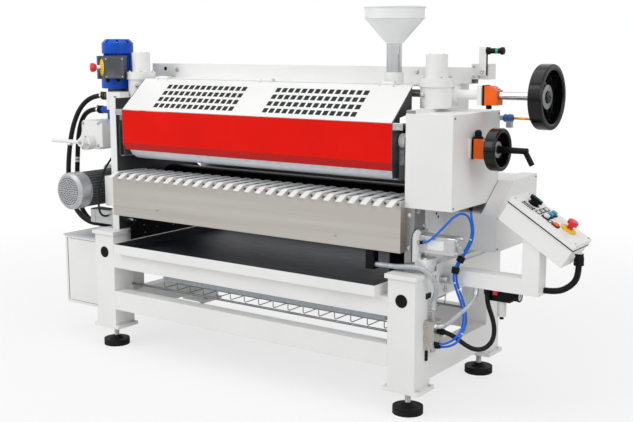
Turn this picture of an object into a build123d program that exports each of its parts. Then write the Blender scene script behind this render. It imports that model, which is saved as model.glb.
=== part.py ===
from build123d import *
import os
from math import atan2, cos, degrees, hypot, pi, radians, sin, tan

# Roller glue spreader in millimetres, +Z up, the rolls along X, the infeed side at -Y.
# Places are measured from the centre of the four feet; keep() then sets the machine over the origin.

# Clearances
running = 0.05
seat = 0.02
slide_gap = 0.5
air = 0.3
sheet = 3.0

# Feet
foot_span_x = 1600.0
foot_span_y = 610.0
pad_r = 60.0
pad_edge_h = 28.0
pad_cone_r = 36.0
pad_hub_r = 18.0
pad_h = 42.0
stud_r = 11.0
stud_top_z = 150.0
nut_r = 19.0
nut_h = 18.0

# Welded frame
leg_w = 120.0
leg_wall = 5.0
leg_top_z = 537.0
foot_plate_z = 93.0
foot_plate_t = 15.0
foot_plate_l = 158.0
foot_plate_w = 128.0
plug_r = 23.0
plug_z = 454.0
sill_w = 140.0
sill_l = 750.0
sill_t = 17.0
beam_depth = 60.0
beam_wall = 4.0
low_beam_z = 187.0
low_beam_h = 89.0
high_beam_z = 387.0
high_beam_h = 76.0
low_side_z = 132.0
low_side_h = 104.0
high_side_z = 442.0

# Drip tray and wire basket
tray_l = 1404.0
tray_w = 800.0
tray_h = 44.0
basket_x = (-534.0, 662.0)
basket_w = 510.0
basket_z = 296.0
basket_h = 55.0
wire = 6.0
basket_cells_x = 15
basket_cells_y = 6
carrier_r = 5.0
carrier_y = 251.0

# Rolls and their gears
roll_l = 1400.0
roll_r = 115.0
rubber_t = 20.0
roll_wall = 12.0
roll_end_t = 25.0
vent_r = 6.0
journal_r = 30.0
low_roll_z = 725.0
nip = 20.0
film_gap = 0.5
gear_module = 6.0
gear_teeth = 17
gear_face = 26.0
gear_run = 16.0
bearing_r = 55.0
doctor_bearing_r = 42.0
pin_r = 15.0

# Side frames
frame_in_x = 770.0
frame_t = 40.0
frame_front_y = -296.0
frame_back_y = 300.0
frame_knee_z = 780.0
frame_shoulder_z = 900.0
frame_top_z = 1165.0
post_front_y = 40.0
frame_foot_w = 52.0
frame_foot_t = 18.0
frame_foot_y = {-1: -195.0, 1: -292.0}
pipe_x = -840.0
pipe_y = 48.0
pipe_z = 590.0
post_back_y = 130.0

# Upper head that carries the upper rolls
lift_up = 60.0
lift_down = 18.0
head_below = 60.0
head_above = 75.0
head_wall = 15.0
head_back_y = 70.0
flange_t = 12.5
flange_over = 13.0
stop_gap = 2.0
block_w = 96.0
block_h = 96.0
doctor_travel = 4.0
sleeve_r = 27.5
sleeve_l = 35.0
sleeve_y = -244.0
sleeve_above = 71.0
drive_w = 75.0
drive_size = 120.0
drive_motor_r = 36.0
drive_motor_l = 190.0
torque_arm_h = 12.0

# Screw jacks and lift handwheel
jack_y = -105.0
screw_r = 15.0
screw_l = 240.0
jack_body_r = 62.0
jack_body_h = 80.0
jack_flange_r = 68.0
jack_flange_h = 35.0
jack_tube_r = 42.5
jack_tube_h = 90.0
worm_y = -62.0
worm_z = 1217.0
shaft_r = 15.0
shaft_left_x = -840.0
boss_r = 31.0
boss_l = 72.0
collar_r = 18.5
collar_end_x = 960.0
plate_size = 72.0
plate_t = 16.0
counter_l = 60.0
counter_w = 50.0
wheel_r = 120.0
wheel_rim = 23.0
wheel_rim_w = 52.0
rim_round = 6.0
wheel_web_t = 8.0
wheel_hub_r = 25.0
wheel_hub_l = 36.0
wheel_hub_x = 1186.0

# Doctor setting handwheel
set_y = -140.0
set_z = 1023.0
set_shaft_r = 10.0
set_wheel_r = 80.0
set_rim = 17.0
set_rim_w = 44.0
set_hub_r = 18.0
set_hub_l = 30.0
set_hub_x = 1040.0
set_counter_l = 58.0
set_counter_h = 74.0
clamp_r = 10.5
clamp_l = 118.0
clamp_arm = 58.0
clamp_arm_r = 10.0

# Crossbeam, shelf and funnel
beam_x = 862.0
beam_y = 45.0
beam_s = 64.0
beam_z = 1253.0
shelf_half = 708.0
shelf_front_y = -138.0
shelf_t = 6.0
lever_block_l = 73.0
lever_block_z = 1272.0
lever_block_h = 60.0
lever_plate_w = 30.0
lever_rise = 20.0
funnel_x = 597.0
funnel_y = -100.0
socket_r = 38.0
socket_h = 46.0
tube_r = 31.0
tube_wall = 3.0
tube_bottom_z = 1236.0
tube_top_z = 1412.0
cone_top_z = 1507.0
rim_z = 1551.0
rim_r = 120.0
funnel_wall = 3.0

# Hood
hood_half = 714.0
hood_front_y = -308.0
hood_knee_z = 1116.0
hinge_y = -150.0
hinge_z = 1256.0
hinge_pin_r = 4.0
hinge_r = 8.0
hinge_l = 54.0
hinge_spacing = 600.0
ear_t = 6.0
hood_end_t = 4.0
red_low_z = 965.0
lip_z = 933.0
lip_back = 10.0
end_plate_z = 905.0
end_plate_y = -255.0
vent_x = 309.0
vent_step_x = 33.5
vent_step_y = 40.0
vent_columns = 14
vent_rows = 4
vent_w = 24.0
vent_h = 26.0
vent_mid = 96.0

# Comb guard
comb_y = -328.0
comb_z = (627.0, 826.0)
comb_bar_y = -162.0
comb_bar_w = 12.0
comb_bar_h = 14.0
rear_lip = 45.0
finger_count = 27
finger_w = 26.0
tongue_l = 40.0
tongue_drop = 20.0
finger_back_y = -146.0
cup_x = 650.0
cup_w = 36.0
cup_z = 568.0

# End dams and their air cylinders
dam_t = 4.0
dam_y = (-270.0, -40.0)
dam_top_z = 800.0
dam_below = 25.0
dam_skirt_y = (-290.0, 190.0)
dam_skirt_z = 512.0
dam_rod_r = 10.0
dam_travel = 8.0
dam_rod_y = -250.0
dam_rod_z = {-1: 600.0, 1: 665.0}
cylinder_s = 65.0
cylinder_l = 165.0
cylinder_stroke = 60.0
bracket_t = 10.0
bracket_s = 90.0
push_fit_x = (823.0, 837.0)
push_fit_y = -301.0
push_fit_z = (665.0, 679.0)

# Covers
cover_end_x = 968.0
cover_y = (-299.0, 90.0)
cover_z = (799.0, 1153.0)
left_cover_l = 70.0
left_cover_y = (-275.0, 72.0)
left_cover_z = (655.0, 795.0)
drive_cover_x = (971.0, 1036.0)
drive_cover_y = (-60.0, 312.0)
drive_cover_low_z = 616.0
drive_cover_front_z = 762.0
drive_cover_knee = (89.0, 879.0)
drive_cover_top_z = 887.0

# Main motor and reducer
motor_x = -1000.0
motor_front_y = -395.0
motor_r = 72.0
fin_r = 84.0
fin_count = 36
fin_t = 4.0
fan_cover_l = 58.0
fan_cover_rim = 12.0
grille_r = 62.0
grille_hole_r = 3.4
fan_r = 70.0
fan_hub_r = 18.0
fan_blade_l = 30.0
fan_blade_t = 4.0
fan_blades = 8
fan_shaft_r = 12.0
fan_shaft_l = 80.0
motor_flange_r = 92.0
motor_flange_t = 14.0
reducer_x = (-1075.0, -925.0)
reducer_y = (-100.0, 66.0)
reducer_half_h = 95.0
torque_y = (76.0, 92.0)

# Control cabinet
cab_x = (-1140.0, -860.0)
cab_y = (-305.0, -55.0)
cab_z = (156.0, 490.0)
cab_top_t = 6.0
cab_border = 12.0
door_t = 14.0
door_gap = 2.0
pivot_r = 4.0
pivot_in = 12.0
pivot_l = 10.0

# Feed valve box and its lever
box_x = (-1054.0, -927.0)
box_y = (-250.0, -50.0)
box_z = (915.0, 1050.0)
box_plate_t = 14.0
box_plate_back_y = 120.0
standoff_y = (70.0, 120.0)
standoff_z = (930.0, 1035.0)
feed_collar_r = 45.0
feed_collar_l = 50.0
lever_x = -1000.0
lever_z = 949.0
lever_boss_r = 38.0
lever_boss_l = 35.0
lever_hub_r = 21.0
lever_hub_l = 26.0
lever_spindle_r = 10.0
lever_spindle_l = 28.0
lever_bar_r = 9.0
lever_tip_x = -1209.0
switch_x = (-898.0, -810.0)
switch_y = (-230.0, -170.0)
switch_z = (1105.0, 1188.0)
switch_post_r = 16.0
switch_post_l = 105.0

# Pump and its motor
pump_x = -950.0
pump_y = -100.0
pump_low_r = 58.0
pump_low_h = 68.0
pump_mid_r = 52.0
pump_mid_h = 82.0
pump_flange_r = 80.0
pump_flange_h = 45.0
pump_motor_r = 60.0
pump_motor_h = 120.0
pump_fin_r = 68.0
pump_fins = 24
pump_cap_r = 75.0
pump_cap_h = 68.0
pump_cap_chamfer = 18.0
cap_slots = 8
cap_slot_w = 12.0
port_r = 15.0
port_upper_x = -1062.0
port_lower_x = -1092.0
port_upper_z = 1160.0
port_lower_z = 1092.0
terminal_turn = 60.0
base_l = (-118.0, 22.0)
base_z = (1247.0, 1355.0)
base_d = 20.0
terminal_l = (-104.0, -10.0)
terminal_z = (1250.0, 1350.0)
terminal_d = 62.0

# Push buttons
mushroom_r = 20.0
mushroom_h = 16.0
stop_stem_r = 11.0
stop_stem_l = 30.0
stop_ring_r = 30.0
stop_ring_t = 3.0
stop_travel = 5.0
left_stop_out = 38.0
left_stop_z = 1302.0

# Control arm and panel
arm_x = (870.0, 1266.0)
arm_y = (-183.0, -117.0)
arm_z = (500.0, 560.0)
arm_post_x = 1200.0
arm_plate_t = 6.0
arm_plate_y = (-225.0, -75.0)
arm_plate_z = (478.0, 582.0)
panel_l = 296.0
panel_w = 150.0
panel_depth = 102.0
lid_t = 22.0
lid_over = 2.0
panel_tilt = 31.6
panel_x = 1279.0
panel_y = -115.0
panel_z = 783.5
knob_u = -86.0
knob_r = 18.0
knob_h = 26.0
knob_grip = 52.0
button_u = -11.0
button_v = (-33.0, 2.0, 37.0)
button_r = 11.0
button_h = 9.0
button_stem_r = 8.0
button_stem_l = 16.0
button_travel = 4.0
stop_u = 72.0
stop_v = 10.0
gland_r = 14.0
gland_l = 20.0
gland_depth = 60.0
elbow_r = 16.0
elbow_l = 44.0
elbow_x = 1388.0
elbow_z = 622.0

# Air service unit and valve block
air_x = (1052.0, 1136.0)
air_y = (-136.0, -92.0)
air_z = (448.0, 500.0)
bowl_r = 17.0
bowl_l = 60.0
drain_r = 8.0
drain_l = 12.0
gauge_r = 21.0
gauge_l = 28.0
valve_x = (860.0, 905.0)
valve_y = (-300.0, -230.0)
valve_z = (268.0, 373.0)
fitting_r = 10.0
fitting_l = 40.0

# Hoses
pump_hose_r = 12.0
drain_hose_r = 10.0
black_hose_r = 9.0
clear_hose_r = 8.0
air_tube_r = 4.5
tube_off = 10.5
cable_r = 5.0
conduit_r = 11.0
bend_share = 0.45

# Places worked out from the sizes above
frame_out_x = frame_in_x + frame_t
frame_mid_x = frame_in_x + frame_t / 2
leg_x = foot_span_x / 2
leg_y = foot_span_y / 2
leg_z = foot_plate_z + foot_plate_t
leg_front_y = leg_y + leg_w / 2
sill_top_z = leg_top_z + sill_t
tray_z = high_beam_z + high_beam_h
gear_step = gear_module * gear_teeth
doctor_y = -2 * gear_step
doctor_r = 2 * gear_step - roll_r - film_gap
up_roll_z = low_roll_z + 2 * roll_r + nip
gear_x = frame_out_x + gear_run
gear_end_x = gear_x + gear_face
head_low_z = up_roll_z - head_below
head_high_z = up_roll_z + head_above
slot_front_y = doctor_y - block_w / 2 - doctor_travel - slide_gap
slot_back_y = doctor_y + block_w / 2 + slide_gap
head_front_y = slot_front_y - head_wall
flange_x = frame_in_x - flange_t - slide_gap
window_y = (head_front_y - slide_gap, head_back_y + slide_gap)
window_z = (head_low_z - lift_down - stop_gap, head_high_z + lift_up + stop_gap)
jack_flange_z = frame_top_z + jack_body_h
jack_tube_z = jack_flange_z + jack_flange_h
jack_top_z = jack_tube_z + jack_tube_h
counter_x = collar_end_x + plate_t
set_counter_x = cover_end_x + plate_t / 2
shelf_z = beam_z - shelf_t
fan_cover_y = motor_front_y + fan_cover_l
fan_cover_r = hypot(fin_r, fin_t / 2) + seat + sheet
drive_inner_z = cover_z[0] - air
drive_inner_y = cover_y[1] + air
pump_mid_z = box_z[1] + pump_low_h
pump_flange_z = pump_mid_z + pump_mid_h
pump_motor_z = pump_flange_z + pump_flange_h
pump_cap_z = pump_motor_z + pump_motor_h
lever_front_y = box_y[0] - lever_boss_l
frame_x = -(lever_tip_x + panel_x + panel_l / 2 * cos(radians(panel_tilt))) / 2

os.makedirs("parts", exist_ok=True)

corner = (Align.MIN, Align.MIN, Align.MIN)
start = (Align.CENTER, Align.CENTER, Align.MIN)
along_x = (0, 90, 0)
along_y = (-90, 0, 0)


def block(x, y, z, mode=Mode.ADD):
    """A box between two limits on each axis, in the open part."""
    with Locations((min(x), min(y), min(z))):
        Box(max(x) - min(x), max(y) - min(y), max(z) - min(z), align=corner, mode=mode)


def rod(radius, begin, length, turn=(0, 0, 0), mode=Mode.ADD):
    """A cylinder from its first end's centre, in the open part."""
    with Locations(begin):
        Cylinder(radius, length, rotation=turn, align=start, mode=mode)


def keep(piece, node):
    """Names a finished piece, sets it over the machine's origin and writes it."""
    placed = Pos(frame_x, 0, 0) * piece.part
    placed.label = node
    export_step(placed, f"parts/{node}.step")


# Levelling feet: round pads, studs with lock nuts under the foot plates
with BuildPart() as levelling_feet:
    with BuildSketch(Plane.XZ):
        with BuildLine():
            Polyline(
                (0, 0),
                (pad_r, 0),
                (pad_r, pad_edge_h),
                (pad_cone_r, pad_edge_h),
                (pad_hub_r, pad_h),
                (0, pad_h),
                close=True,
            )
        make_face()
    pad = revolve(axis=Axis.Z, mode=Mode.PRIVATE)
    with GridLocations(foot_span_x, foot_span_y, 2, 2):
        add(pad)
    with BuildSketch(Plane.XY.offset(pad_h + seat)):
        with GridLocations(foot_span_x, foot_span_y, 2, 2):
            Circle(stud_r)
    extrude(amount=stud_top_z - pad_h)
    with BuildSketch(Plane.XY.offset(foot_plate_z - nut_h)):
        with GridLocations(foot_span_x, foot_span_y, 2, 2):
            RegularPolygon(nut_r, 6)
            Circle(stud_r + running, mode=Mode.SUBTRACT)
    extrude(amount=nut_h)
keep(levelling_feet, "levelling_feet")

# Legs: square tubes welded to drilled foot plates, with a plugged hole in each front leg
with BuildPart() as frame_legs:
    with BuildSketch(Plane.XY.offset(foot_plate_z)):
        with GridLocations(foot_span_x, foot_span_y, 2, 2):
            Rectangle(foot_plate_l, foot_plate_w)
            Circle(stud_r + air, mode=Mode.SUBTRACT)
    extrude(amount=foot_plate_t)
    with BuildSketch(Plane.XY.offset(leg_z)):
        with GridLocations(foot_span_x, foot_span_y, 2, 2):
            Rectangle(leg_w, leg_w)
            Rectangle(leg_w - 2 * leg_wall, leg_w - 2 * leg_wall, mode=Mode.SUBTRACT)
    extrude(amount=leg_top_z - leg_z)
    for side in (-1, 1):
        rod(plug_r, (side * leg_x, -leg_front_y, plug_z), leg_wall, along_y, Mode.SUBTRACT)
keep(frame_legs, "frame_legs")

# Beams between the legs, the side ones flush with the legs' outer faces, the sill plates on top of
# them and two rods between the legs that carry the basket
with BuildPart() as frame_beams:
    for z, h in ((low_beam_z, low_beam_h), (high_beam_z, high_beam_h)):
        for y in (-leg_front_y, leg_front_y - beam_depth):
            reach = leg_x - leg_w / 2
            block((-reach, reach), (y, y + beam_depth), (z, z + h))
            inner_y = (y + beam_wall, y + beam_depth - beam_wall)
            block((-reach, reach), inner_y, (z + beam_wall, z + h - beam_wall), Mode.SUBTRACT)
    reach = leg_y - leg_w / 2
    for z, h in ((low_side_z, low_side_h), (high_side_z, leg_top_z - seat - high_side_z)):
        for side in (-1, 1):
            x = side * (leg_x + leg_w / 2)
            block((x - side * beam_depth, x), (-reach, reach), (z, z + h))
            inner_x = (x - side * (beam_depth - beam_wall), x - side * beam_wall)
            block(inner_x, (-reach, reach), (z + beam_wall, z + h - beam_wall), Mode.SUBTRACT)
    with BuildSketch(Plane.XY.offset(leg_top_z)):
        with GridLocations(foot_span_x, 0, 2, 1):
            Rectangle(sill_w, sill_l)
    extrude(amount=sill_t)
    for y in (-carrier_y, carrier_y):
        carrier_l = foot_span_x - leg_w
        rod(carrier_r, (-carrier_l / 2, y, basket_z - seat - carrier_r), carrier_l, along_x)
keep(frame_beams, "frame_beams")

# Drip tray on the upper beams
with BuildPart() as drip_tray:
    block((-tray_l / 2, tray_l / 2), (-tray_w / 2, tray_w / 2), (tray_z, tray_z + tray_h))
    inner_l = tray_l / 2 - sheet
    inner_w = tray_w / 2 - sheet
    block((-inner_l, inner_l), (-inner_w, inner_w), (tray_z + sheet, tray_z + tray_h), Mode.SUBTRACT)
keep(drip_tray, "drip_tray")

# Wire basket on the two rods
basket_mid_x = (basket_x[0] + basket_x[1]) / 2
basket_l = basket_x[1] - basket_x[0]
cell_x = basket_l / basket_cells_x
cell_y = basket_w / basket_cells_y
with BuildPart() as wire_basket:
    half_w = basket_w / 2
    block(basket_x, (-half_w, half_w), (basket_z, basket_z + basket_h))
    inner_x = (basket_x[0] + wire, basket_x[1] - wire)
    block(inner_x, (wire - half_w, half_w - wire), (basket_z + wire, basket_z + basket_h), Mode.SUBTRACT)
    with BuildSketch(Plane.XY.offset(basket_z)):
        with Locations((basket_mid_x, 0)):
            with GridLocations(cell_x, cell_y, basket_cells_x, basket_cells_y):
                Rectangle(cell_x - wire, cell_y - wire)
    extrude(amount=wire, mode=Mode.SUBTRACT)
    gap_z = basket_h - 2 * wire
    with BuildSketch(Plane.XZ.offset(half_w)):
        with Locations((basket_mid_x, basket_z + basket_h / 2)):
            with GridLocations(cell_x, 0, basket_cells_x, 1):
                Rectangle(cell_x - 2 * wire, gap_z)
    extrude(amount=-basket_w, mode=Mode.SUBTRACT)
    with BuildSketch(Plane.YZ.offset(basket_x[0])):
        with Locations((0, basket_z + basket_h / 2)):
            with GridLocations(cell_y, 0, basket_cells_y, 1):
                Rectangle(cell_y - 2 * wire, gap_z)
    extrude(amount=basket_l, mode=Mode.SUBTRACT)
keep(wire_basket, "wire_basket")

# Side frames: thick plates with a window for the lifting head, the lower bearings and two glue pipes
with BuildPart() as side_frames:
    for x in (-frame_out_x, frame_in_x):
        with BuildSketch(Plane.YZ.offset(x)):
            with BuildLine():
                Polyline(
                    (frame_front_y, sill_top_z),
                    (frame_back_y, sill_top_z),
                    (frame_back_y, frame_knee_z),
                    (post_back_y, frame_shoulder_z),
                    (post_back_y, beam_z),
                    (post_front_y, beam_z),
                    (post_front_y, frame_top_z),
                    (frame_front_y, frame_top_z),
                    close=True,
                )
            make_face()
            with Locations((sum(window_y) / 2, sum(window_z) / 2)):
                Rectangle(window_y[1] - window_y[0], window_z[1] - window_z[0], mode=Mode.SUBTRACT)
            with Locations((0, low_roll_z)):
                Circle(bearing_r, mode=Mode.SUBTRACT)
            with Locations((doctor_y, low_roll_z)):
                Circle(doctor_bearing_r, mode=Mode.SUBTRACT)
        extrude(amount=frame_t)
    for side in (-1, 1):
        foot_x = (side * frame_out_x, side * (frame_out_x + frame_foot_w))
        block(foot_x, (frame_foot_y[side], frame_back_y), (sill_top_z, sill_top_z + frame_foot_t))
        hole_z = window_z[1]
        rod(screw_r + air, (side * frame_mid_x, jack_y, hole_z), frame_top_z - hole_z, mode=Mode.SUBTRACT)
        x = min(side * frame_in_x, side * frame_out_x)
        rod(dam_rod_r + air, (x, dam_rod_y, dam_rod_z[side]), frame_t, along_x, Mode.SUBTRACT)
    pin_x = -frame_out_x - gear_run - gear_face
    rod(pin_r, (pin_x, -gear_step, low_roll_z), -frame_out_x - pin_x, along_x)
    for y in (-2 * pipe_y, -pipe_y):
        rod(port_r, (pipe_x, y, pipe_z), -frame_out_x - pipe_x, along_x)
    for x in (-frame_out_x, frame_in_x):
        for y, ring_r in ((0, bearing_r), (doctor_y, doctor_bearing_r)):
            rod(ring_r - seat, (x, y, low_roll_z), frame_t, along_x)
            rod(journal_r + running, (x, y, low_roll_z), frame_t, along_x, Mode.SUBTRACT)
keep(side_frames, "side_frames")

# Spur gear that is cut once and used on each roll and idler, a tooth pointing to -Y
pitch_r = gear_step / 2
root_r = pitch_r - 1.25 * gear_module
addendum = 0.85 * gear_module
tooth_mid = 0.42 * pi * gear_module
flank = tan(radians(20))
with BuildPart() as spur_gear:
    with BuildSketch(Plane.YZ):
        Circle(root_r)
        with PolarLocations(pitch_r, gear_teeth, start_angle=180):
            low = root_r - pitch_r - 1
            wide = tooth_mid / 2 - low * flank
            narrow = tooth_mid / 2 - addendum * flank
            Polygon((low, -wide), (addendum, -narrow), (addendum, narrow), (low, wide), align=None)
    extrude(amount=gear_face)


def gear_on(bore_r, x, y, z):
    """The spur gear bored for its shaft, with its left face at x."""
    bored = spur_gear.part - Cylinder(bore_r, 2 * gear_face, rotation=along_x)
    return Pos(x, y, z) * bored


def roll_shaft(body_r, y, z, left_x, right_x):
    """A hollow, vented roll body on a shaft that runs out to the two ends, in the open part."""
    end = roll_l / 2
    rod(body_r, (-end, y, z), roll_l, along_x)
    rod(body_r - roll_wall, (roll_end_t - end, y, z), roll_l - 2 * roll_end_t, along_x, Mode.SUBTRACT)
    for x in (-end, end - roll_end_t):
        rod(vent_r, (x, y, z + (journal_r + body_r) / 2), roll_end_t, along_x, Mode.SUBTRACT)
        rod(journal_r + seat, (x, y, z), roll_end_t, along_x, Mode.SUBTRACT)
    rod(journal_r, (left_x, y, z), right_x - left_x, along_x)


# Lower rolls: rubber-covered applicator and chromed doctor, geared together on the left
journal_end = frame_out_x + gear_run
gear_left_x = -gear_end_x
lower_gear = gear_on(journal_r + seat, gear_left_x, 0, low_roll_z)
with BuildPart() as lower_roll_shaft:
    roll_shaft(roll_r - rubber_t, 0, low_roll_z, reducer_x[0], journal_end)
    add(lower_gear)
keep(lower_roll_shaft, "lower_roll_shaft")

with BuildPart() as lower_roll_cover:
    rod(roll_r, (-roll_l / 2, 0, low_roll_z), roll_l, along_x)
    rod(roll_r - rubber_t, (-roll_l / 2, 0, low_roll_z), roll_l, along_x, Mode.SUBTRACT)
keep(lower_roll_cover, "lower_roll_cover")

lower_doctor_gear = gear_on(journal_r + seat, gear_left_x, doctor_y, low_roll_z)
with BuildPart() as lower_doctor_roll:
    roll_shaft(doctor_r, doctor_y, low_roll_z, gear_left_x, frame_out_x - slide_gap)
    add(lower_doctor_gear)
keep(lower_doctor_roll, "lower_doctor_roll")

lower_idler = gear_on(pin_r + running, gear_left_x, -gear_step, low_roll_z)
with BuildPart() as lower_idler_gear:
    add(lower_idler)
keep(lower_idler_gear, "lower_idler_gear")

# Upper rolls, geared together on the right
upper_gear = gear_on(journal_r + seat, gear_x, 0, up_roll_z)
drive_x = gear_end_x + slide_gap
with BuildPart() as upper_roll_shaft:
    roll_shaft(roll_r - rubber_t, 0, up_roll_z, -journal_end, drive_x + drive_w)
    add(upper_gear)
keep(upper_roll_shaft, "upper_roll_shaft")

with BuildPart() as upper_roll_cover:
    rod(roll_r, (-roll_l / 2, 0, up_roll_z), roll_l, along_x)
    rod(roll_r - rubber_t, (-roll_l / 2, 0, up_roll_z), roll_l, along_x, Mode.SUBTRACT)
keep(upper_roll_cover, "upper_roll_cover")

upper_doctor_gear = gear_on(journal_r + seat, gear_x, doctor_y, up_roll_z)
with BuildPart() as upper_doctor_roll:
    roll_shaft(doctor_r, doctor_y, up_roll_z, -journal_end, gear_end_x)
    add(upper_doctor_gear)
keep(upper_doctor_roll, "upper_doctor_roll")

upper_idler = gear_on(pin_r + running, gear_x, -gear_step, up_roll_z)
with BuildPart() as upper_idler_gear:
    add(upper_idler)
keep(upper_idler_gear, "upper_idler_gear")

# Upper head: blocks that slide in the frame windows, with bearings, jack screws and dam sleeves,
# and the geared motor that rides on the upper roll's journal
with BuildPart() as head_blocks:
    for side in (-1, 1):
        block((side * flange_x, side * frame_out_x), (head_front_y, head_back_y), (head_low_z, head_high_z))
        flange_y = (head_front_y - flange_over, head_back_y + flange_over)
        flange_z = (head_low_z - flange_over, head_high_z + flange_over)
        block((side * flange_x, side * (flange_x + flange_t)), flange_y, flange_z)
        slot_z = (up_roll_z - block_h / 2 - air, up_roll_z + block_h / 2 + air)
        block((side * flange_x, side * frame_out_x), (slot_front_y, slot_back_y), slot_z, Mode.SUBTRACT)
        x = min(side * flange_x, side * frame_out_x)
        rod(bearing_r, (x, 0, up_roll_z), frame_out_x - flange_x, along_x, Mode.SUBTRACT)
        x = min(side * flange_x, side * (flange_x - sleeve_l))
        rod(sleeve_r, (x, sleeve_y, up_roll_z + sleeve_above), sleeve_l, along_x)
        x = min(side * frame_in_x, side * frame_out_x)
        rod(bearing_r - seat, (x, 0, up_roll_z), frame_t, along_x)
        rod(journal_r + running, (x, 0, up_roll_z), frame_t, along_x, Mode.SUBTRACT)
        rod(screw_r, (side * frame_mid_x, jack_y, head_high_z + seat), screw_l)
    rod(pin_r, (frame_out_x, -gear_step, up_roll_z), gear_run + gear_face, along_x)
    half = drive_size / 2
    drive_end_x = drive_x + drive_w
    block((drive_x, drive_end_x), (-half, half), (up_roll_z - half, head_high_z))
    block((frame_out_x + seat, drive_x), (-half, half), (head_high_z - torque_arm_h, head_high_z))
    rod(drive_motor_r, (drive_x + drive_w / 2, -half - drive_motor_l, up_roll_z), drive_motor_l, along_y)
    rod(journal_r + running, (drive_x, 0, up_roll_z), drive_w, along_x, Mode.SUBTRACT)
keep(head_blocks, "head_blocks")

with BuildPart() as doctor_blocks:
    for side in (-1, 1):
        block_y = (doctor_y - block_w / 2, doctor_y + block_w / 2)
        block_z = (up_roll_z - block_h / 2, up_roll_z + block_h / 2)
        block((side * flange_x, side * frame_out_x), block_y, block_z)
        x = min(side * flange_x, side * frame_out_x)
        rod(doctor_bearing_r, (x, doctor_y, up_roll_z), frame_out_x - flange_x, along_x, Mode.SUBTRACT)
        rod(doctor_bearing_r - seat, (x, doctor_y, up_roll_z), frame_out_x - flange_x, along_x)
        rod(journal_r + running, (x, doctor_y, up_roll_z), frame_out_x - flange_x, along_x, Mode.SUBTRACT)
keep(doctor_blocks, "doctor_blocks")

# Screw jacks on the side frames, the right one with the bearing sleeve of the handwheel shaft
with BuildPart() as jack_housings:
    for side in (-1, 1):
        x = side * frame_mid_x
        rod(jack_body_r, (x, jack_y, frame_top_z), jack_body_h)
        rod(jack_flange_r, (x, jack_y, jack_flange_z), jack_flange_h)
        rod(jack_tube_r, (x, jack_y, jack_tube_z), jack_tube_h)
        rod(screw_r + air, (x, jack_y, frame_top_z), jack_top_z - frame_top_z - sheet, mode=Mode.SUBTRACT)
    rod(boss_r, (frame_mid_x, worm_y, worm_z), boss_l, along_x)
    rod(collar_r, (frame_mid_x, worm_y, worm_z), collar_end_x - frame_mid_x, along_x)
    half = plate_size / 2
    block((collar_end_x, counter_x), (worm_y - half, worm_y + half), (worm_z - half, worm_z + half))
    for side in (-1, 1):
        rod(screw_r + air, (side * frame_mid_x, jack_y, frame_top_z), jack_body_h, mode=Mode.SUBTRACT)
    rod(shaft_r + running, (shaft_left_x - air, worm_y, worm_z), counter_x - shaft_left_x + air, along_x, Mode.SUBTRACT)
keep(jack_housings, "jack_housings")


def handwheel(hub_x, y, z, hub_r, hub_l, bore_r, rim_r, rim, rim_w):
    """A dished handwheel about X: hub with a coned web, and a wide rim; the hub's left face is at hub_x."""
    web_x = hub_x + wheel_web_t
    rim_x = hub_x + hub_l - rim_w / 2
    with BuildPart() as wheel:
        with BuildSketch(Plane.XZ):
            with BuildLine():
                Polyline(
                    (hub_x, bore_r),
                    (hub_x + hub_l, bore_r),
                    (hub_x + hub_l, hub_r),
                    (web_x + wheel_web_t, hub_r),
                    (rim_x + wheel_web_t + sheet, rim_r - rim - seat),
                    (rim_x, rim_r - rim - seat),
                    (hub_x, hub_r),
                    close=True,
                )
            make_face()
        revolve(axis=Axis.X)
        with BuildSketch(Plane.XZ):
            with Locations((rim_x + rim_w / 2, rim_r - rim / 2)):
                RectangleRounded(rim_w, rim, rim_round)
        revolve(axis=Axis.X)
    return Pos(0, y, z) * wheel.part


# Lift handwheel on the shaft that runs through both jacks
big_wheel = handwheel(
    wheel_hub_x, worm_y, worm_z, wheel_hub_r, wheel_hub_l, shaft_r + seat, wheel_r, wheel_rim, wheel_rim_w
)
with BuildPart() as lift_wheel:
    add(big_wheel)
    rod(shaft_r, (shaft_left_x, worm_y, worm_z), wheel_hub_x + wheel_hub_l - shaft_left_x, along_x)
keep(lift_wheel, "lift_wheel")

# Doctor setting wheel on the gear cover, with the clamping lever on its face
small_wheel = handwheel(
    set_hub_x, set_y, set_z, set_hub_r, set_hub_l, set_shaft_r + seat, set_wheel_r, set_rim, set_rim_w
)
set_inner_x = cover_end_x - sheet - slide_gap
with BuildPart() as doctor_wheel:
    add(small_wheel)
    rod(set_shaft_r, (set_inner_x, set_y, set_z), set_hub_x + set_hub_l - set_inner_x, along_x)
    rod(set_hub_r, (set_inner_x - flange_t, set_y, set_z), flange_t, along_x)
keep(doctor_wheel, "doctor_wheel")

clamp_x = set_hub_x + set_hub_l + air
with BuildPart() as clamp_lever:
    rod(clamp_r, (clamp_x, set_y, set_z), clamp_l, along_x)
    with Locations((clamp_x + clamp_l - clamp_arm_r, set_y, set_z)):
        Cylinder(clamp_arm_r, clamp_arm, rotation=(0, 150, 0), align=start)
keep(clamp_lever, "clamp_lever")

# Orange position counters on the two handwheel shafts
with BuildPart() as position_counters:
    for x, y, z, length, height, bore in (
        (counter_x, worm_y, worm_z, counter_l, plate_size, shaft_r),
        (set_counter_x, set_y, set_z, set_counter_l, set_counter_h, set_shaft_r),
    ):
        with BuildSketch(Plane.XZ.offset(-y - counter_w / 2)):
            with BuildLine():
                Polyline(
                    (x, z - height / 2),
                    (x + length, z - height / 2),
                    (x + length, z + height / 4),
                    (x + length / 2, z + height / 2),
                    (x, z + height / 2),
                    close=True,
                )
            make_face()
        extrude(amount=counter_w)
        rod(bore + running, (x, y, z), length, along_x, Mode.SUBTRACT)
keep(position_counters, "position_counters")

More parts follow.
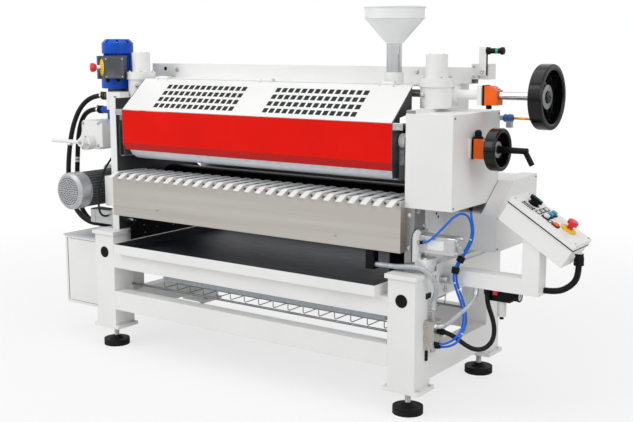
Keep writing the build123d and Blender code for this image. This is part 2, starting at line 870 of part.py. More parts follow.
# Crossbeam over the side frames, with the shelf for the funnel, hood hinge ears and lever block
with BuildPart() as crossbeam:
    block((-beam_x, beam_x), (beam_y, beam_y + beam_s), (beam_z, beam_z + beam_s))
    hollow = (beam_z + beam_wall, beam_z + beam_s - beam_wall)
    block((-beam_x, beam_x), (beam_y + beam_wall, beam_y + beam_s - beam_wall), hollow, Mode.SUBTRACT)
    block((-shelf_half, shelf_half), (shelf_front_y, beam_y + beam_s), (shelf_z, beam_z))
    block(
        (beam_x, beam_x + lever_block_l),
        (beam_y, beam_y + beam_s),
        (lever_block_z, lever_block_z + lever_block_h),
    )
    rod(socket_r, (funnel_x, funnel_y, beam_z), socket_h)
    rod(tube_r + running, (funnel_x, funnel_y, shelf_z), socket_h + shelf_t, mode=Mode.SUBTRACT)
    for x in (-hinge_spacing, 0, hinge_spacing):
        for ear_x in (x - hinge_l / 2 - slide_gap - ear_t, x + hinge_l / 2 + slide_gap):
            block((ear_x, ear_x + ear_t), (hinge_y - hinge_r, shelf_front_y), (shelf_z, hinge_z + hinge_r))
        rod(hinge_pin_r, (x - hinge_l / 2 - slide_gap, hinge_y, hinge_z), hinge_l + 2 * slide_gap, along_x)
    lever_pin_x = beam_x + lever_block_l * 0.74
    lever_pin_z = lever_block_z + lever_block_h / 2
    rod(lever_spindle_r + running, (lever_pin_x, beam_y, lever_pin_z), lever_spindle_l, along_y, Mode.SUBTRACT)
keep(crossbeam, "crossbeam")

# Hand lever at the crossbeam's right end, with a plain black grip
grip_z = lever_pin_z + lever_block_h + lever_rise
with BuildPart() as hand_lever:
    plate_x = (lever_pin_x - lever_plate_w / 2, lever_pin_x + lever_plate_w / 2)
    block(plate_x, (beam_y - door_t, beam_y - air), (lever_pin_z - lever_plate_w / 2, grip_z + lever_plate_w / 2))
    rod(lever_spindle_r, (lever_pin_x, beam_y - air, lever_pin_z), lever_spindle_l - slide_gap, along_y)
    grip_y = beam_y - door_t / 2
    grip_x = lever_pin_x + lever_plate_w / 2 + seat
    rod(door_t, (grip_x, grip_y, grip_z), lever_boss_l / 3, along_x)
    rod(clamp_r, (grip_x, grip_y, grip_z), clamp_arm, along_x)
    rod(door_t, (grip_x + clamp_arm, grip_y, grip_z), lever_boss_l / 3, along_x)
keep(hand_lever, "hand_lever")

# Funnel and its clear feed tube through the shelf
neck_r = tube_r - tube_wall
with BuildPart() as funnel:
    tube_l = tube_top_z - tube_bottom_z - seat
    rod(tube_r, (funnel_x, funnel_y, tube_bottom_z), tube_l)
    rod(neck_r, (funnel_x, funnel_y, tube_bottom_z), tube_l, mode=Mode.SUBTRACT)
    with BuildSketch(Plane.XZ):
        with BuildLine():
            Polyline(
                (neck_r, tube_top_z),
                (tube_r + tube_wall, tube_top_z),
                (rim_r - funnel_wall, cone_top_z),
                (rim_r - funnel_wall, rim_z - funnel_wall),
                (rim_r, rim_z - funnel_wall),
                (rim_r, rim_z),
                (rim_r - 2 * funnel_wall, rim_z),
                (rim_r - 2 * funnel_wall, cone_top_z),
                close=True,
            )
        make_face()
    body = revolve(axis=Axis.Z, mode=Mode.PRIVATE)
    with Locations((funnel_x, funnel_y, 0)):
        add(body)
keep(funnel, "funnel")

# Hood: vented white slope hung on the crossbeam's hinges, red front panel and dark end plates
slope_l = hypot(hinge_y - hood_front_y, hinge_z - hood_knee_z)
slope = degrees(atan2(hinge_z - hood_knee_z, hinge_y - hood_front_y))
hood_plane = Plane((0, hood_front_y, hood_knee_z), x_dir=(1, 0, 0), z_dir=(0, -sin(radians(slope)), cos(radians(slope))))
with BuildPart() as hood_shell:
    with BuildSketch(hood_plane):
        with Locations((0, (slope_l - hinge_r + 1) / 2)):
            Rectangle(2 * hood_half, slope_l - hinge_r + 1)
        for x in (-vent_x, vent_x):
            with Locations((x, vent_mid)):
                with GridLocations(vent_step_x, vent_step_y, vent_columns, vent_rows):
                    Rectangle(vent_w, vent_h, mode=Mode.SUBTRACT)
    extrude(amount=-sheet)
    for x in (-hinge_spacing, 0, hinge_spacing):
        notch_l = hinge_l + 2 * slide_gap + 2 * ear_t + 2 * slide_gap
        rod(2 * hinge_r, (x - notch_l / 2, hinge_y, hinge_z), notch_l, along_x, Mode.SUBTRACT)
        rod(hinge_r, (x - hinge_l / 2, hinge_y, hinge_z), hinge_l, along_x)
        with BuildSketch(hood_plane):
            with Locations((x, slope_l - 2 * hinge_r)):
                Rectangle(hinge_l, 3 * hinge_r)
        extrude(amount=-sheet)
        rod(hinge_pin_r + running, (x - hinge_l / 2, hinge_y, hinge_z), hinge_l, along_x, Mode.SUBTRACT)
    end_back_y = hinge_y - 2 * hinge_r
    rise = tan(radians(slope))
    end_back_z = hood_knee_z + (end_back_y - hood_front_y) * rise
    for x in (-hood_half - seat - hood_end_t, hood_half + seat):
        with BuildSketch(Plane.YZ.offset(x)):
            with BuildLine():
                Polyline(
                    (hood_front_y + lip_back, end_plate_z),
                    (hood_front_y, red_low_z),
                    (hood_front_y, hood_knee_z),
                    (end_back_y, end_back_z),
                    (end_back_y, end_back_z - vent_mid),
                    (end_plate_y, hood_knee_z + 2 * hinge_r),
                    (end_plate_y, end_plate_z),
                    close=True,
                )
            make_face()
        extrude(amount=hood_end_t)
keep(hood_shell, "hood_shell")

with BuildPart() as red_panel:
    with BuildSketch(Plane.YZ.offset(-hood_half)):
        with BuildLine():
            Polyline(
                (hood_front_y, hood_knee_z - sheet),
                (hood_front_y, red_low_z),
                (hood_front_y + lip_back, lip_z),
                (hood_front_y + lip_back + sheet, lip_z),
                (hood_front_y + sheet, red_low_z),
                (hood_front_y + sheet, hood_knee_z - sheet),
                close=True,
            )
        make_face()
    extrude(amount=2 * hood_half)
keep(red_panel, "red_panel")

# Comb guard: stainless front panel between end plates on the side frames, the finger strips on top
# and the drain cup behind the panel; a plain folded guard closes the outfeed side
with BuildPart() as comb_guard:
    block((-frame_in_x, frame_in_x), (comb_y, comb_y + sheet), comb_z)
    for side in (-1, 1):
        plate_x = (side * frame_in_x, side * (frame_in_x - 2 * sheet))
        block(plate_x, (comb_y + sheet, comb_bar_y + comb_bar_w), comb_z)
        x = min(plate_x)
        rod(journal_r + 2 * sheet, (x, doctor_y, low_roll_z), 2 * sheet, along_x, Mode.SUBTRACT)
        if comb_z[0] < dam_rod_z[side]:
            rod(dam_rod_r + air, (x, dam_rod_y, dam_rod_z[side]), 2 * sheet, along_x, Mode.SUBTRACT)
    bar_y = (comb_bar_y, comb_bar_y + comb_bar_w)
    block((-frame_in_x, frame_in_x), bar_y, (comb_z[1] - comb_bar_h, comb_z[1]))
    cup_y = (comb_y + sheet, comb_y + sheet + cup_w)
    block((cup_x - cup_w, cup_x), cup_y, (cup_z - cup_w / 2, comb_z[0] + comb_bar_h))
    finger_step = 2 * frame_in_x / finger_count
    with BuildSketch(Plane.YZ):
        with BuildLine():
            Polyline(
                (finger_back_y, comb_z[1]),
                (comb_y, comb_z[1]),
                (comb_y - tongue_l, comb_z[1] - tongue_drop),
                (comb_y - tongue_l, comb_z[1] - tongue_drop + sheet),
                (comb_y, comb_z[1] + sheet),
                (finger_back_y, comb_z[1] + sheet),
                close=True,
            )
        make_face()
    finger = extrude(amount=finger_w / 2, both=True, mode=Mode.PRIVATE)
    for i in range(finger_count):
        with Locations((finger_step * (i + 0.5) - frame_in_x, 0, 0)):
            add(finger)
    rear_y = frame_back_y + seat
    block((-frame_mid_x, frame_mid_x), (rear_y, rear_y + sheet), comb_z)
    lip_x = frame_in_x - sheet
    block((-lip_x, lip_x), (rear_y - rear_lip, rear_y), (comb_z[1] - sheet, comb_z[1]))
keep(comb_guard, "comb_guard")


def end_dam(side):
    """A dam plate against the lower rolls' ends, with a skirt over the tray, on its cylinder rod."""
    face_x = side * (roll_l / 2 + air)
    back_x = side * (roll_l / 2 + air + dam_t)
    z = dam_rod_z[side]
    with BuildPart() as dam:
        block((face_x, back_x), dam_y, (z - dam_below, dam_top_z))
        block((face_x, back_x), dam_skirt_y, (dam_skirt_z, z - dam_below))
        rod(journal_r + 2 * sheet, (min(face_x, back_x), doctor_y, low_roll_z), dam_t, along_x, Mode.SUBTRACT)
        tip_x = side * (frame_out_x + bracket_t + cylinder_stroke / 2)
        rod(dam_rod_r, (min(back_x, tip_x), dam_rod_y, z), abs(tip_x - back_x), along_x)
    return dam


# Lower end dams and the air cylinders that press them on, the right one with a push-in tube fitting
keep(end_dam(-1), "lower_dam_left")
keep(end_dam(1), "lower_dam_right")

with BuildPart() as dam_cylinders:
    for side in (-1, 1):
        z = dam_rod_z[side]
        x = side * frame_out_x
        half = bracket_s / 2
        block((x, x + side * bracket_t), (dam_rod_y - half, dam_rod_y + half), (z - half, z + half))
        half = cylinder_s / 2
        block((x, x + side * cylinder_l), (dam_rod_y - half, dam_rod_y + half), (z - half, z + half))
        bore_x = min(x, x + side * (bracket_t + cylinder_stroke))
        rod(dam_rod_r + running, (bore_x, dam_rod_y, z), bracket_t + cylinder_stroke, along_x, Mode.SUBTRACT)
    block(push_fit_x, (push_fit_y, dam_rod_y - cylinder_s / 2), push_fit_z)
keep(dam_cylinders, "dam_cylinders")

# Covers of the gears: the tall one on the right and the low one on the left
with BuildPart() as gear_covers:
    block((frame_out_x, cover_end_x), cover_y, cover_z)
    inner_y = (cover_y[0] + sheet, cover_y[1] - sheet)
    inner_z = (cover_z[0] + sheet, cover_z[1] - sheet)
    block((frame_out_x, cover_end_x - sheet), inner_y, inner_z, Mode.SUBTRACT)
    block((frame_in_x, frame_out_x), (cover_y[0], cover_y[0] + sheet), cover_z)
    rod(set_shaft_r + running, (cover_end_x - sheet, set_y, set_z), sheet, along_x, Mode.SUBTRACT)
    left_x = (-frame_out_x - left_cover_l, -frame_out_x)
    block(left_x, left_cover_y, left_cover_z)
    inner_y = (left_cover_y[0] + sheet, left_cover_y[1] - sheet)
    inner_z = (left_cover_z[0] + sheet, left_cover_z[1] - sheet)
    block((left_x[0] + sheet, left_x[1]), inner_y, inner_z, Mode.SUBTRACT)
    rod(journal_r + air, (left_x[0], 0, low_roll_z), sheet, along_x, Mode.SUBTRACT)
    half = plate_size / 2
    plate_x = (cover_end_x, set_counter_x)
    block(plate_x, (set_y - half, set_y + half), (set_z - half, set_z + half))
    rod(set_shaft_r + running, (cover_end_x, set_y, set_z), plate_t / 2, along_x, Mode.SUBTRACT)
keep(gear_covers, "gear_covers")

with BuildPart() as drive_cover:
    for wall in (0, sheet):
        with BuildSketch(Plane.YZ.offset(drive_cover_x[0])):
            with BuildLine():
                Polyline(
                    (drive_cover_y[0], drive_cover_low_z),
                    (drive_cover_y[0], drive_cover_front_z),
                    drive_cover_knee,
                    (drive_cover_y[1], drive_cover_top_z),
                    (drive_cover_y[1], drive_cover_low_z),
                    close=True,
                )
            make_face()
            offset(amount=-wall, mode=Mode.REPLACE)
        depth = drive_cover_x[1] - drive_cover_x[0] - wall
        extrude(amount=depth, mode=Mode.SUBTRACT if wall else Mode.ADD)
    for wall in (0, sheet):
        with BuildSketch(Plane.YZ.offset(frame_out_x)):
            with BuildLine():
                Polyline(
                    (drive_cover_y[0], drive_cover_low_z),
                    (drive_cover_y[0], drive_cover_front_z),
                    (drive_inner_y, drive_cover_front_z),
                    (drive_inner_y, drive_cover_knee[1]),
                    (drive_cover_y[1], drive_cover_knee[1]),
                    (drive_cover_y[1], drive_cover_low_z),
                    close=True,
                )
            make_face()
            offset(amount=-wall, mode=Mode.REPLACE)
        extrude(amount=drive_cover_x[0] - frame_out_x, mode=Mode.SUBTRACT if wall else Mode.ADD)
keep(drive_cover, "drive_cover")

# Main motor: finned body, fan cover with a round grille, and the reducer on the lower roll's journal
reducer_mid_x = motor_x
with BuildPart() as motor_body:
    body_l = reducer_y[0] - fan_cover_y
    rod(motor_r, (motor_x, fan_cover_y, low_roll_z), body_l, along_y)
    with BuildSketch(Plane.XZ.offset(-fan_cover_y - fin_t)):
        with Locations((motor_x, low_roll_z)):
            with PolarLocations(motor_r, fin_count):
                Rectangle(2 * (fin_r - motor_r), fin_t)
    extrude(amount=-(body_l - motor_flange_t - 2 * fin_t))
    rod(motor_flange_r, (motor_x, reducer_y[0] - motor_flange_t, low_roll_z), motor_flange_t, along_y)
    rod(fan_shaft_r + running, (motor_x, fan_cover_y, low_roll_z), fan_shaft_l, along_y, Mode.SUBTRACT)

with BuildPart() as fan_cover:
    cover_l = fan_cover_l + 4 * fin_t
    rod(fan_cover_r, (motor_x, motor_front_y, low_roll_z), cover_l, along_y)
    chamfer(fan_cover.faces().sort_by(Axis.Y)[0].edges(), fan_cover_rim)
    inner_y = motor_front_y + fan_cover_rim
    rod(fan_cover_r - sheet, (motor_x, inner_y, low_roll_z), cover_l - fan_cover_rim, along_y, Mode.SUBTRACT)
    ring_steps = int(grille_r // (3 * grille_hole_r))
    with BuildSketch(Plane.XZ.offset(-motor_front_y)):
        with Locations((motor_x, low_roll_z)):
            for ring in range(1, ring_steps + 1):
                with PolarLocations(ring * grille_r / ring_steps, 6 * ring):
                    Circle(grille_hole_r)
    extrude(amount=-fan_cover_rim, mode=Mode.SUBTRACT)
with BuildPart() as motor_with_cover:
    add(motor_body.part)
    add(fan_cover.part)
keep(motor_with_cover, "motor_body")

with BuildPart() as motor_fan:
    fan_y = motor_front_y + fan_cover_rim + fin_t
    rod(fan_hub_r, (motor_x, fan_y, low_roll_z), fan_blade_l, along_y)
    with BuildSketch(Plane.XZ.offset(-fan_y)):
        with Locations((motor_x, low_roll_z)):
            with PolarLocations((fan_r + fan_hub_r) / 2 - 1, fan_blades):
                Rectangle(fan_r - fan_hub_r + 2, fan_blade_t)
    extrude(amount=-fan_blade_l)
    rod(fan_shaft_r, (motor_x, fan_y, low_roll_z), fan_shaft_l, along_y)
keep(motor_fan, "motor_fan")

with BuildPart() as gear_reducer:
    reducer_z = (low_roll_z - reducer_half_h, low_roll_z + reducer_half_h)
    block(reducer_x, reducer_y, reducer_z)
    chamfer(gear_reducer.edges().filter_by(Axis.X), cab_border)
    arm_z_low = low_roll_z - reducer_half_h / 2
    block((reducer_x[0], -frame_out_x), torque_y, (arm_z_low, arm_z_low + reducer_half_h))
    block(reducer_x, (reducer_y[1], torque_y[1]), (arm_z_low, arm_z_low + reducer_half_h))
    rod(journal_r + running, (reducer_x[0], 0, low_roll_z), reducer_x[1] - reducer_x[0], along_x, Mode.SUBTRACT)
keep(gear_reducer, "gear_reducer")

# Control cabinet: sheet box with an inset door on two pivot pins
door_x = (cab_x[0] + cab_border + door_gap, cab_x[1] - cab_border - door_gap)
door_z = (cab_z[0] + cab_border + door_gap, cab_z[1] - cab_border - door_gap)
pivot_x = door_x[0] + pivot_in
pivot_y = cab_y[0] + door_t / 2
with BuildPart() as cabinet_body:
    block(cab_x, cab_y, cab_z)
    inner_x = (cab_x[0] + sheet, cab_x[1] - sheet)
    block(inner_x, (cab_y[0] + sheet, cab_y[1] - sheet), (cab_z[0] + sheet, cab_z[1] - sheet), Mode.SUBTRACT)
    mouth_x = (cab_x[0] + cab_border, cab_x[1] - cab_border)
    mouth_z = (cab_z[0] + cab_border, cab_z[1] - cab_border)
    block(mouth_x, (cab_y[0], cab_y[0] + sheet), mouth_z, Mode.SUBTRACT)
    block((cab_x[0] - cab_top_t, cab_x[1]), (cab_y[0] - cab_top_t, cab_y[1]), (cab_z[1], cab_z[1] + cab_top_t))
    for low, high in ((cab_z[0], door_z[0]), (door_z[1], cab_z[1])):
        block((pivot_x - pivot_in / 2, pivot_x + pivot_in / 2), (cab_y[0], cab_y[0] + door_t), (low, high))
    block((pivot_x - pivot_in / 2, pivot_x + pivot_in / 2), (cab_y[0], cab_y[0] + door_t), door_z, Mode.SUBTRACT)
    rod(pivot_r, (pivot_x, pivot_y, door_z[0] - air), pivot_l)
    rod(pivot_r, (pivot_x, pivot_y, door_z[1] - pivot_l + air), pivot_l)
keep(cabinet_body, "cabinet_body")

with BuildPart() as cabinet_door:
    block(door_x, (cab_y[0], cab_y[0] + door_t), (door_z[0] + air, door_z[1] - air))
    fillet(cabinet_door.edges().filter_by(Axis.Z).group_by(Axis.X)[0], door_t / 2 - air)
    for z in (door_z[0], door_z[1] - pivot_l):
        rod(pivot_r + running, (pivot_x, pivot_y, z), pivot_l, mode=Mode.SUBTRACT)
keep(cabinet_door, "cabinet_door")

# Feed valve box on its bracket at the left side frame, with the bar lever and the interlock switch
with BuildPart() as valve_box:
    block(box_x, box_y, box_z)
    chamfer(valve_box.edges().filter_by(Axis.Y), cab_border)
    plate_x = (box_x[1], box_x[1] + box_plate_t)
    block(plate_x, (box_y[0], box_plate_back_y), (box_z[0] + cab_border, box_z[1] - cab_border))
    block((plate_x[1], -frame_out_x), standoff_y, standoff_z)
    rod(feed_collar_r, (plate_x[1], doctor_y + gear_step / 2, up_roll_z), feed_collar_l, along_x)
    rod(lever_boss_r, (lever_x, lever_front_y, lever_z), lever_boss_l, along_y)
    rod(lever_spindle_r + running, (lever_x, lever_front_y, lever_z), lever_spindle_l, along_y, Mode.SUBTRACT)
    block(switch_x, switch_y, switch_z)
    post_x = (switch_x[0] + switch_x[1]) / 2
    post_y = (switch_y[0] + switch_y[1]) / 2
    rod(switch_post_r, (post_x, post_y, switch_z[0] - switch_post_l), switch_post_l)
keep(valve_box, "valve_box")

with BuildPart() as valve_lever:
    hub_y = lever_front_y - lever_hub_l - air
    rod(lever_hub_r, (lever_x, hub_y, lever_z), lever_hub_l, along_y)
    rod(lever_spindle_r, (lever_x, hub_y, lever_z), lever_hub_l + lever_spindle_l - slide_gap, along_y)
    rod(lever_bar_r, (lever_tip_x, hub_y + lever_hub_l / 2, lever_z), lever_x - lever_tip_x, along_x)
keep(valve_lever, "valve_lever")

# Glue pump standing on the valve box: blue motor, dark pump head and terminal box
with BuildPart() as pump_motor:
    rod(pump_low_r, (pump_x, pump_y, box_z[1]), pump_low_h)
    rod(port_r + sheet, (port_lower_x + pump_low_r / 2, pump_y, port_lower_z), pump_x - port_lower_x - pump_low_r / 2, along_x)
    rod(pump_flange_r, (pump_x, pump_y, pump_flange_z), pump_flange_h)
    rod(pump_motor_r, (pump_x, pump_y, pump_motor_z), pump_motor_h)
    with BuildSketch(Plane.XY.offset(pump_motor_z)):
        with Locations((pump_x, pump_y)):
            with PolarLocations(pump_motor_r, pump_fins):
                Rectangle(2 * (pump_fin_r - pump_motor_r), fin_t)
    extrude(amount=pump_motor_h)
    with BuildSketch(Plane.XZ):
        with BuildLine():
            Polyline(
                (0, pump_cap_z),
                (pump_cap_r, pump_cap_z),
                (pump_cap_r, pump_cap_z + pump_cap_h - pump_cap_chamfer),
                (pump_cap_r - pump_cap_chamfer, pump_cap_z + pump_cap_h),
                (0, pump_cap_z + pump_cap_h),
                close=True,
            )
        make_face()
    cap = revolve(axis=Axis.Z, mode=Mode.PRIVATE)
    with Locations((pump_x, pump_y, 0)):
        add(cap)
    with BuildSketch(Plane.XY.offset(pump_cap_z + pump_cap_h)):
        with Locations((pump_x, pump_y)):
            with PolarLocations(pump_cap_r, cap_slots):
                Rectangle(pump_cap_r, cap_slot_w)
    extrude(amount=-pump_cap_chamfer, mode=Mode.SUBTRACT)
keep(pump_motor, "pump_motor")

turn = radians(terminal_turn)
terminal_plane = Plane((pump_x, pump_y, 0), x_dir=(cos(turn), sin(turn), 0), z_dir=(sin(turn), -cos(turn), 0))
box_back = pump_fin_r + base_d
stop_at = terminal_plane.from_local_coords((terminal_l[0], left_stop_z, box_back + terminal_d / 2))
stop_plane = Plane(stop_at, z_dir=(-cos(turn), -sin(turn), 0))
with BuildPart() as pump_head:
    rod(pump_mid_r, (pump_x, pump_y, pump_mid_z), pump_mid_h)
    rod(port_r + sheet, (port_upper_x, pump_y, port_upper_z), pump_x - port_upper_x, along_x)
    rod(port_r, (port_lower_x, pump_y, port_lower_z), pump_low_r / 2, along_x)
    for back, l, z, depth in (
        (pump_fin_r, base_l, base_z, base_d),
        (box_back, terminal_l, terminal_z, terminal_d),
    ):
        with BuildSketch(terminal_plane.offset(back)):
            with Locations((sum(l) / 2, sum(z) / 2)):
                Rectangle(l[1] - l[0], z[1] - z[0])
        extrude(amount=depth)
    with BuildSketch(stop_plane):
        Circle(stop_stem_r + running)
    extrude(amount=-stop_stem_l, mode=Mode.SUBTRACT)
keep(pump_head, "pump_head")


def stop_button(stem_out):
    """A mushroom stop button along +Z, its plate face at the origin, standing out by stem_out."""
    with BuildPart() as button:
        rod(stop_stem_r, (0, 0, slide_gap - stop_stem_l + stop_travel), stop_stem_l + stem_out - stop_travel)
        rod(mushroom_r, (0, 0, stem_out), mushroom_h)
        fillet(button.edges().sort_by(Axis.Z)[-1], mushroom_h / 3)
    return button.part


with BuildPart() as estop_left:
    add(stop_plane.location * stop_button(left_stop_out))
keep(estop_left, "estop_left")

# Control panel on its arm: box and lid along the slope, buttons on the lid
tilt = radians(panel_tilt)
lid_dir = (cos(tilt), 0, -sin(tilt))
lid_normal = (sin(tilt), 0, cos(tilt))
lid_plane = Plane((panel_x, panel_y, panel_z), x_dir=lid_dir, z_dir=lid_normal)
with BuildPart() as control_arm:
    block((arm_x[0] + arm_plate_t, arm_x[1]), arm_y, arm_z)
    block((arm_x[0], arm_x[0] + arm_plate_t), arm_plate_y, arm_plate_z)
    drop = tan(tilt)
    foot_x = panel_x - panel_depth * sin(tilt)
    foot_z = panel_z - panel_depth * cos(tilt)
    with BuildSketch(Plane.XZ.offset(-arm_y[0])):
        with BuildLine():
            Polyline(
                (arm_post_x, arm_z[1]),
                (arm_x[1], arm_z[1]),
                (arm_x[1], foot_z - (arm_x[1] - foot_x) * drop),
                (arm_post_x, foot_z - (arm_post_x - foot_x) * drop),
                close=True,
            )
        make_face()
    extrude(amount=-(arm_y[1] - arm_y[0]))
keep(control_arm, "control_arm")

with BuildPart() as control_box:
    with BuildSketch(lid_plane.offset(-panel_depth)):
        Rectangle(panel_l - 2 * lid_over, panel_w - 2 * lid_over)
    extrude(amount=panel_depth - lid_t - seat)
    with BuildSketch(lid_plane.offset(-lid_t)):
        Rectangle(panel_l - 4 * sheet, panel_w - 4 * sheet)
    extrude(amount=-(panel_depth - lid_t - sheet), mode=Mode.SUBTRACT)
    gland_at = lid_plane.from_local_coords((panel_l / 2 - lid_over, 0, -gland_depth))
    with BuildSketch(Plane(gland_at, z_dir=lid_dir)):
        Circle(gland_r)
    extrude(amount=gland_l)
    rod(elbow_r, (elbow_x, panel_y, elbow_z), elbow_l)
    with BuildSketch(lid_plane.offset(-lid_t)):
        Rectangle(panel_l, panel_w)
    extrude(amount=lid_t)
    with BuildSketch(lid_plane.offset(-lid_t)):
        Rectangle(panel_l - 4 * sheet, panel_w - 4 * sheet)
    extrude(amount=lid_t - sheet, mode=Mode.SUBTRACT)
    with BuildSketch(lid_plane):
        with Locations((knob_u, stop_v / 2)):
            Circle(button_stem_r + running)
        with Locations(*((button_u, v) for v in button_v)):
            Circle(button_stem_r + running)
        with Locations((stop_u, stop_v)):
            Circle(stop_stem_r + running)
    extrude(amount=-sheet, mode=Mode.SUBTRACT)
keep(control_box, "control_box")

panel_stop = lid_plane.location * Pos(stop_u, stop_v, 0) * stop_button(stop_ring_r * 0.8)
with BuildPart() as estop_button:
    add(panel_stop)
keep(estop_button, "estop_button")

with BuildPart() as rotary_switch:
    with BuildSketch(lid_plane.offset(-button_stem_l)):
        with Locations((knob_u, stop_v / 2)):
            Circle(button_stem_r)
    extrude(amount=button_stem_l + air)
    with BuildSketch(lid_plane.offset(air)):
        with Locations((knob_u, stop_v / 2)):
            Circle(knob_r)
    extrude(amount=knob_h / 2)
    with BuildSketch(lid_plane.offset(knob_h / 2 + air)):
        with Locations((knob_u, stop_v / 2)):
            SlotOverall(knob_grip, knob_r)
    extrude(amount=knob_h / 2)
keep(rotary_switch, "rotary_switch")


def push_button(v):
    """A round push button on the lid at the given place across it."""
    with BuildPart() as button:
        with BuildSketch(lid_plane.offset(-button_stem_l)):
            with Locations((button_u, v)):
                Circle(button_stem_r)
        extrude(amount=button_stem_l + button_travel)
        with BuildSketch(lid_plane.offset(button_travel + slide_gap)):
            with Locations((button_u, v)):
                Circle(button_r)
        extrude(amount=button_h)
        with BuildSketch(lid_plane.offset(button_travel)):
            with Locations((button_u, v)):
                Circle(button_stem_r)
        extrude(amount=button_h)
    return button


for v, colour in zip(button_v, ("white", "blue", "green")):
    keep(push_button(v), f"button_{colour}")

# Air service unit under the arm and stainless valve block on the right front leg
air_mid_y = (air_y[0] + air_y[1]) / 2
with BuildPart() as air_unit:
    block(air_x, air_y, air_z)
    bowl_x = (air_x[0] + air_x[1]) / 2
    rod(bowl_r, (bowl_x, air_mid_y, air_z[0] - bowl_l - seat), bowl_l)
    rod(drain_r, (bowl_x, air_mid_y, air_z[0] - bowl_l - drain_l), drain_l - seat)
    rod(gauge_r, (air_x[1], air_mid_y, (air_z[0] + air_z[1]) / 2), gauge_l, along_x)
    cap_x = (air_x[0] + knob_r, air_x[0] + 2 * knob_r)
    block(cap_x, (air_y[0] - drain_l, air_y[0] - seat), (air_z[1] - knob_h, air_z[1]))
keep(air_unit, "air_unit")

with BuildPart() as valve_block:
    block(valve_x, valve_y, valve_z)
    valve_mid_x = (valve_x[0] + valve_x[1]) / 2
    valve_mid_y = (valve_y[0] + valve_y[1]) / 2
    rod(fitting_r, (valve_mid_x, valve_mid_y, valve_z[1]), fitting_l)
    rod(fitting_r, (valve_mid_x, valve_mid_y, valve_z[0] - fitting_l / 2), fitting_l / 2)
keep(valve_block, "valve_block")


def bend_radii(points):
    """For each inner point, the bend that takes nearly half of the shorter run beside it."""
    radii = []
    for before, at, after in zip(points, points[1:], points[2:]):
        arrive = Vector(at) - Vector(before)
        leave = Vector(after) - Vector(at)
        half_turn = radians(arrive.get_angle(leave)) / 2
        radii.append(bend_share * min(arrive.length, leave.length) / tan(half_turn))
    return radii


def hose(points, radius):
    """A round hose along straight runs joined by tangent bends."""
    with BuildPart() as tube:
        with BuildLine() as route:
            FilletPolyline(*points, radius=bend_radii(points))
        with BuildSketch(Plane(route.line @ 0, z_dir=route.line % 0)):
            Circle(radius)
        sweep()
    return tube


# Glue hoses from the pump's two ports to the pipes in the left side frame
upper_route = [
    (port_upper_x, pump_y, port_upper_z),
    (port_upper_x - 60, pump_y, port_upper_z),
    (-1188, -115, 1110),
    (-1214, -135, 1010),
    (-1218, -155, 880),
    (-1212, -170, 740),
    (-1186, -180, 622),
    (-1120, -180, 545),
    (-1030, -165, 530),
    (-960, -118, 570),
    (pipe_x - 65, -2 * pipe_y, pipe_z),
    (pipe_x, -2 * pipe_y, pipe_z),
]
keep(hose(upper_route, pump_hose_r), "pump_hose_upper")

lower_route = [
    (port_lower_x, pump_y, port_lower_z),
    (port_lower_x - 55, pump_y, port_lower_z),
    (-1205, -84, 1054),
    (-1232, -78, 970),
    (-1240, -86, 840),
    (-1236, -98, 705),
    (-1208, -104, 588),
    (-1140, -100, 522),
    (-1050, -80, 515),
    (-960, -62, 548),
    (pipe_x - 65, -pipe_y, pipe_z),
    (pipe_x, -pipe_y, pipe_z),
]
keep(hose(lower_route, pump_hose_r), "pump_hose_lower")

# Drain hose from the cup, past the right side frame and down into the valve block
cup_mid_y = comb_y + sheet + cup_w / 2
fitting_top_z = valve_z[1] + fitting_l
drain_route = [
    (cup_x, cup_mid_y, cup_z),
    (cup_x + 50, cup_mid_y, cup_z),
    (cup_x + 105, -314, cup_z + 4),
    (cup_x + 160, -317, cup_z + 12),
    (cup_x + 210, -317, cup_z + 13),
    (899, -308, 553),
    (912, -291, 508),
    (891, -270, 465),
    (valve_mid_x, valve_mid_y, fitting_top_z + 25),
    (valve_mid_x, valve_mid_y, fitting_top_z),
]
keep(hose(drain_route, drain_hose_r), "drain_hose")

# Hoses from the valve block to the underside of the arm
black_route = [
    (valve_x[1], -270, 335),
    (valve_x[1] + 37, -270, 335),
    (980, -262, 318),
    (1010, -240, 288),
    (1036, -212, 268),
    (1062, -180, 270),
    (1080, -156, 298),
    (1082, -146, 340),
    (1070, -143, 384),
    (1054, -146, 424),
    (1048, -150, arm_z[0] - 38),
    (1048, -150, arm_z[0]),
]
keep(hose(black_route, black_hose_r), "black_hose")

clear_route = [
    (valve_x[1], -288, 355),
    (valve_x[1] + 40, -288, 355),
    (982, -268, 380),
    (1008, -235, 403),
    (1016, -198, 425),
    (1014, -170, arm_z[0] - 40),
    (1014, -170, arm_z[0]),
]
keep(hose(clear_route, clear_hose_r), "clear_hose")

# Air tubes: one from the gear cover and one from the right dam cylinder, both down to the valve block
air_route = [
    (952, -110, cover_z[0]),
    (952, -110, cover_z[0] - 37),
    (975, -122, 720),
    (985, -140, 678),
    (976, -162, 640),
    (959, -184, 603),
    (946, -198, 563),
    (948, -200, 519),
    (962, -196, 477),
    (979, -194, 438),
    (998, -208, 399),
    (1011, -236, 363),
    (1010, -266, 329),
    (988, -283, 299),
    (valve_x[1] + 33, -284, 277),
    (valve_x[1], -284, 277),
]
keep(hose(air_route, air_tube_r), "air_tube")

